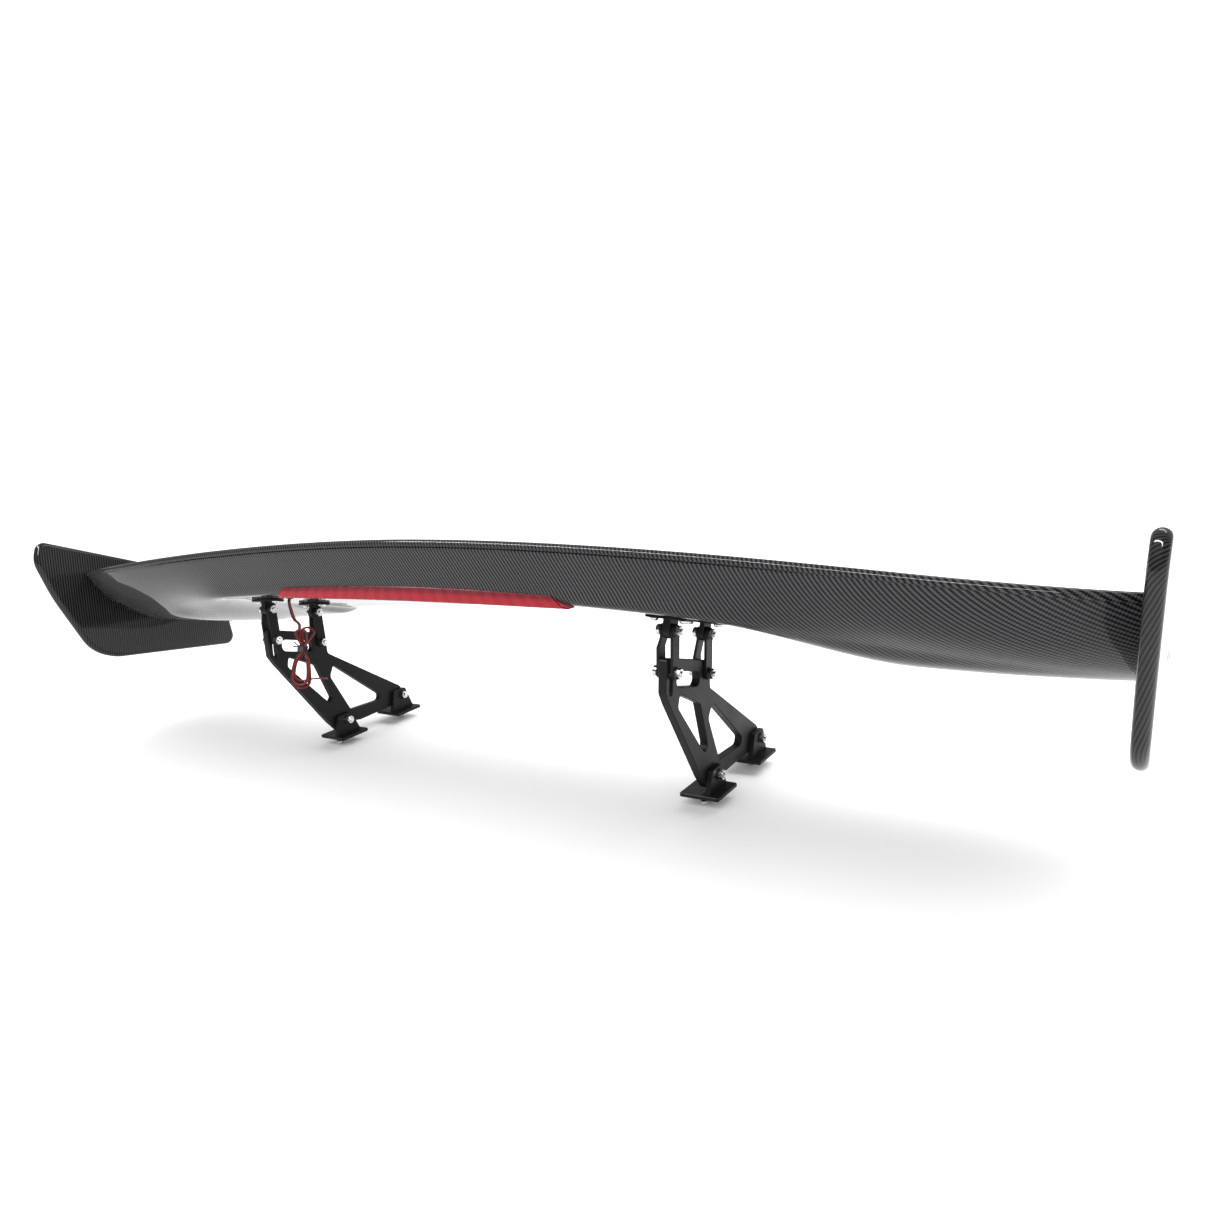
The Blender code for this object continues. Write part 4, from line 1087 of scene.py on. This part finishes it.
def make_core(name, route, material, nodes, extras=()):
    curve = bpy.data.curves.new(name, "CURVE")
    curve.dimensions = "3D"
    curve.bevel_depth = CORE_DIAMETER / 2.0 * MM
    curve.bevel_resolution = 3
    curve.use_fill_caps = True
    spline = curve.splines.new("POLY")
    spline.points.add(len(route) - 1)
    for point, at in zip(spline.points, route):
        point.co = (*at, 1.0)
    spline.use_smooth = True
    curve.materials.append(material)
    item = bpy.data.objects.new(name, curve)
    bpy.context.scene.collection.objects.link(item)
    adopt(item, "wing", nodes)


def make_lead():
    make_core("lead_core_red", core_route(1), RED_WIRE, ["lamp_lead", "lead_hank", "lead_tail"],
              [make_tie()])
    make_core("lead_core_black", core_route(-1), BLACK_WIRE, [])


# ---------------------------------------------------------------- stage

def area_light(name, place, target, size, power):
    light = bpy.data.lights.new(name, "AREA")
    light.shape = "RECTANGLE"
    light.size, light.size_y = size
    light.energy = power
    item = bpy.data.objects.new(name, light)
    item.location = place
    aim = Vector(target) - Vector(place)
    item.rotation_euler = aim.to_track_quat("-Z", "Y").to_euler()
    bpy.context.scene.collection.objects.link(item)
    return item


def make_stage():
    """White floor, soft overhead light and a white surround that mirrors dimmer behind the camera."""
    scene = bpy.context.scene
    builder = bmesh.new()
    bmesh.ops.create_grid(builder, x_segments=1, y_segments=1, size=FLOOR_SIZE)
    floor = finish_mesh("floor", builder, None, floor_material())
    world = bpy.data.worlds.new("studio")
    scene.world = world
    world.use_nodes = True
    tree = world.node_tree
    direction = tree.nodes.new("ShaderNodeTexCoord").outputs["Generated"]
    split = tree.nodes.new("ShaderNodeSeparateXYZ")
    tree.links.new(direction, split.inputs[0])
    ramp = tree.nodes.new("ShaderNodeMapRange")
    for name, number in (("From Min", -0.6), ("From Max", 0.6), ("To Min", STUDIO_BEHIND),
                         ("To Max", STUDIO_AHEAD)):
        ramp.inputs[name].default_value = number
    tree.links.new(split.outputs["Y"], ramp.inputs["Value"])
    shone = tree.nodes["Background"]
    shone.inputs["Color"].default_value = (1.0, 1.0, 1.0, 1.0)
    tree.links.new(ramp.outputs["Result"], shone.inputs["Strength"])
    path = tree.nodes.new("ShaderNodeLightPath")
    for ray, strength in (("Is Diffuse Ray", EVEN_SKY), ("Is Camera Ray", BACKDROP)):
        surround = tree.nodes.new("ShaderNodeBackground")
        surround.inputs["Color"].default_value = (1.0, 1.0, 1.0, 1.0)
        surround.inputs["Strength"].default_value = strength
        chosen = tree.nodes.new("ShaderNodeMixShader")
        tree.links.new(path.outputs[ray], chosen.inputs[0])
        tree.links.new(shone.outputs[0], chosen.inputs[1])
        tree.links.new(surround.outputs[0], chosen.inputs[2])
        shone = chosen
    tree.links.new(shone.outputs[0], tree.nodes["World Output"].inputs["Surface"])
    sky = bpy.data.lights.new("overhead", "SUN")
    sky.energy = OVERHEAD_POWER
    sky.angle = math.radians(100.0)
    item = bpy.data.objects.new("overhead", sky)
    item.rotation_euler = (math.radians(-18.0), math.radians(8.0), 0.0)
    item.visible_glossy = False
    scene.collection.objects.link(item)
    area_light("lip_box", (0.9, 1.1, 1.9), (0.2, -0.1, 0.3), (1.8, 0.5), BOX_POWER)
    strip = area_light("edge_strip", (0.1, -1.1, 1.45), (0.5, -0.11, 0.29), (3.0, 0.16), STRIP_POWER)
    strip.visible_diffuse = False
    scene.view_settings.view_transform = "Standard"


def floor_material():
    g = Graph("pale_floor")
    return g.set(Base_Color=g.mix(g.noise(3.0), (0.92, 0.92, 0.92), (0.93, 0.93, 0.93)),
                 Roughness=0.7)


def make_camera():
    camera = bpy.data.cameras.new("camera")
    camera.sensor_fit = "HORIZONTAL"
    camera.sensor_width = 36.0
    camera.lens = CAMERA_LENS
    item = bpy.data.objects.new("camera", camera)
    yaw, pitch, roll = (math.radians(a) for a in CAMERA_TURN)
    turn = Matrix.Rotation(yaw, 4, "Z") @ Matrix.Rotation(pitch, 4, "X") @ Matrix.Rotation(roll, 4, "Y")
    # camera looks along the turned +Y with +Z up
    item.matrix_world = (Matrix.Translation(CAMERA_PLACE) @ turn
                         @ Matrix.Rotation(math.radians(90.0), 4, "X"))
    bpy.context.scene.collection.objects.link(item)
    bpy.context.scene.camera = item


def paint_carried_nodes():
    """Materials for the CAD nodes that are shown as they are."""
    for node, material in (("brake_light_board", circuit_board()), ("brake_light_tray", PLASTIC),
                           ("lead_grommet", RUBBER), ("left_end_rib", PLASTIC),
                           ("right_end_rib", PLASTIC), ("left_backing_plate", BLACK),
                           ("right_backing_plate", BLACK)):
        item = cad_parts[node]
        item.data.materials.clear()
        item.data.materials.append(material)


def build():
    make_camera()
    make_lead()
    make_blade()
    for side, sign in SIDES.items():
        make_end_plate(side, sign)
        make_stand(side, sign)
    make_brake_light()
    paint_carried_nodes()
    make_stage()


build()
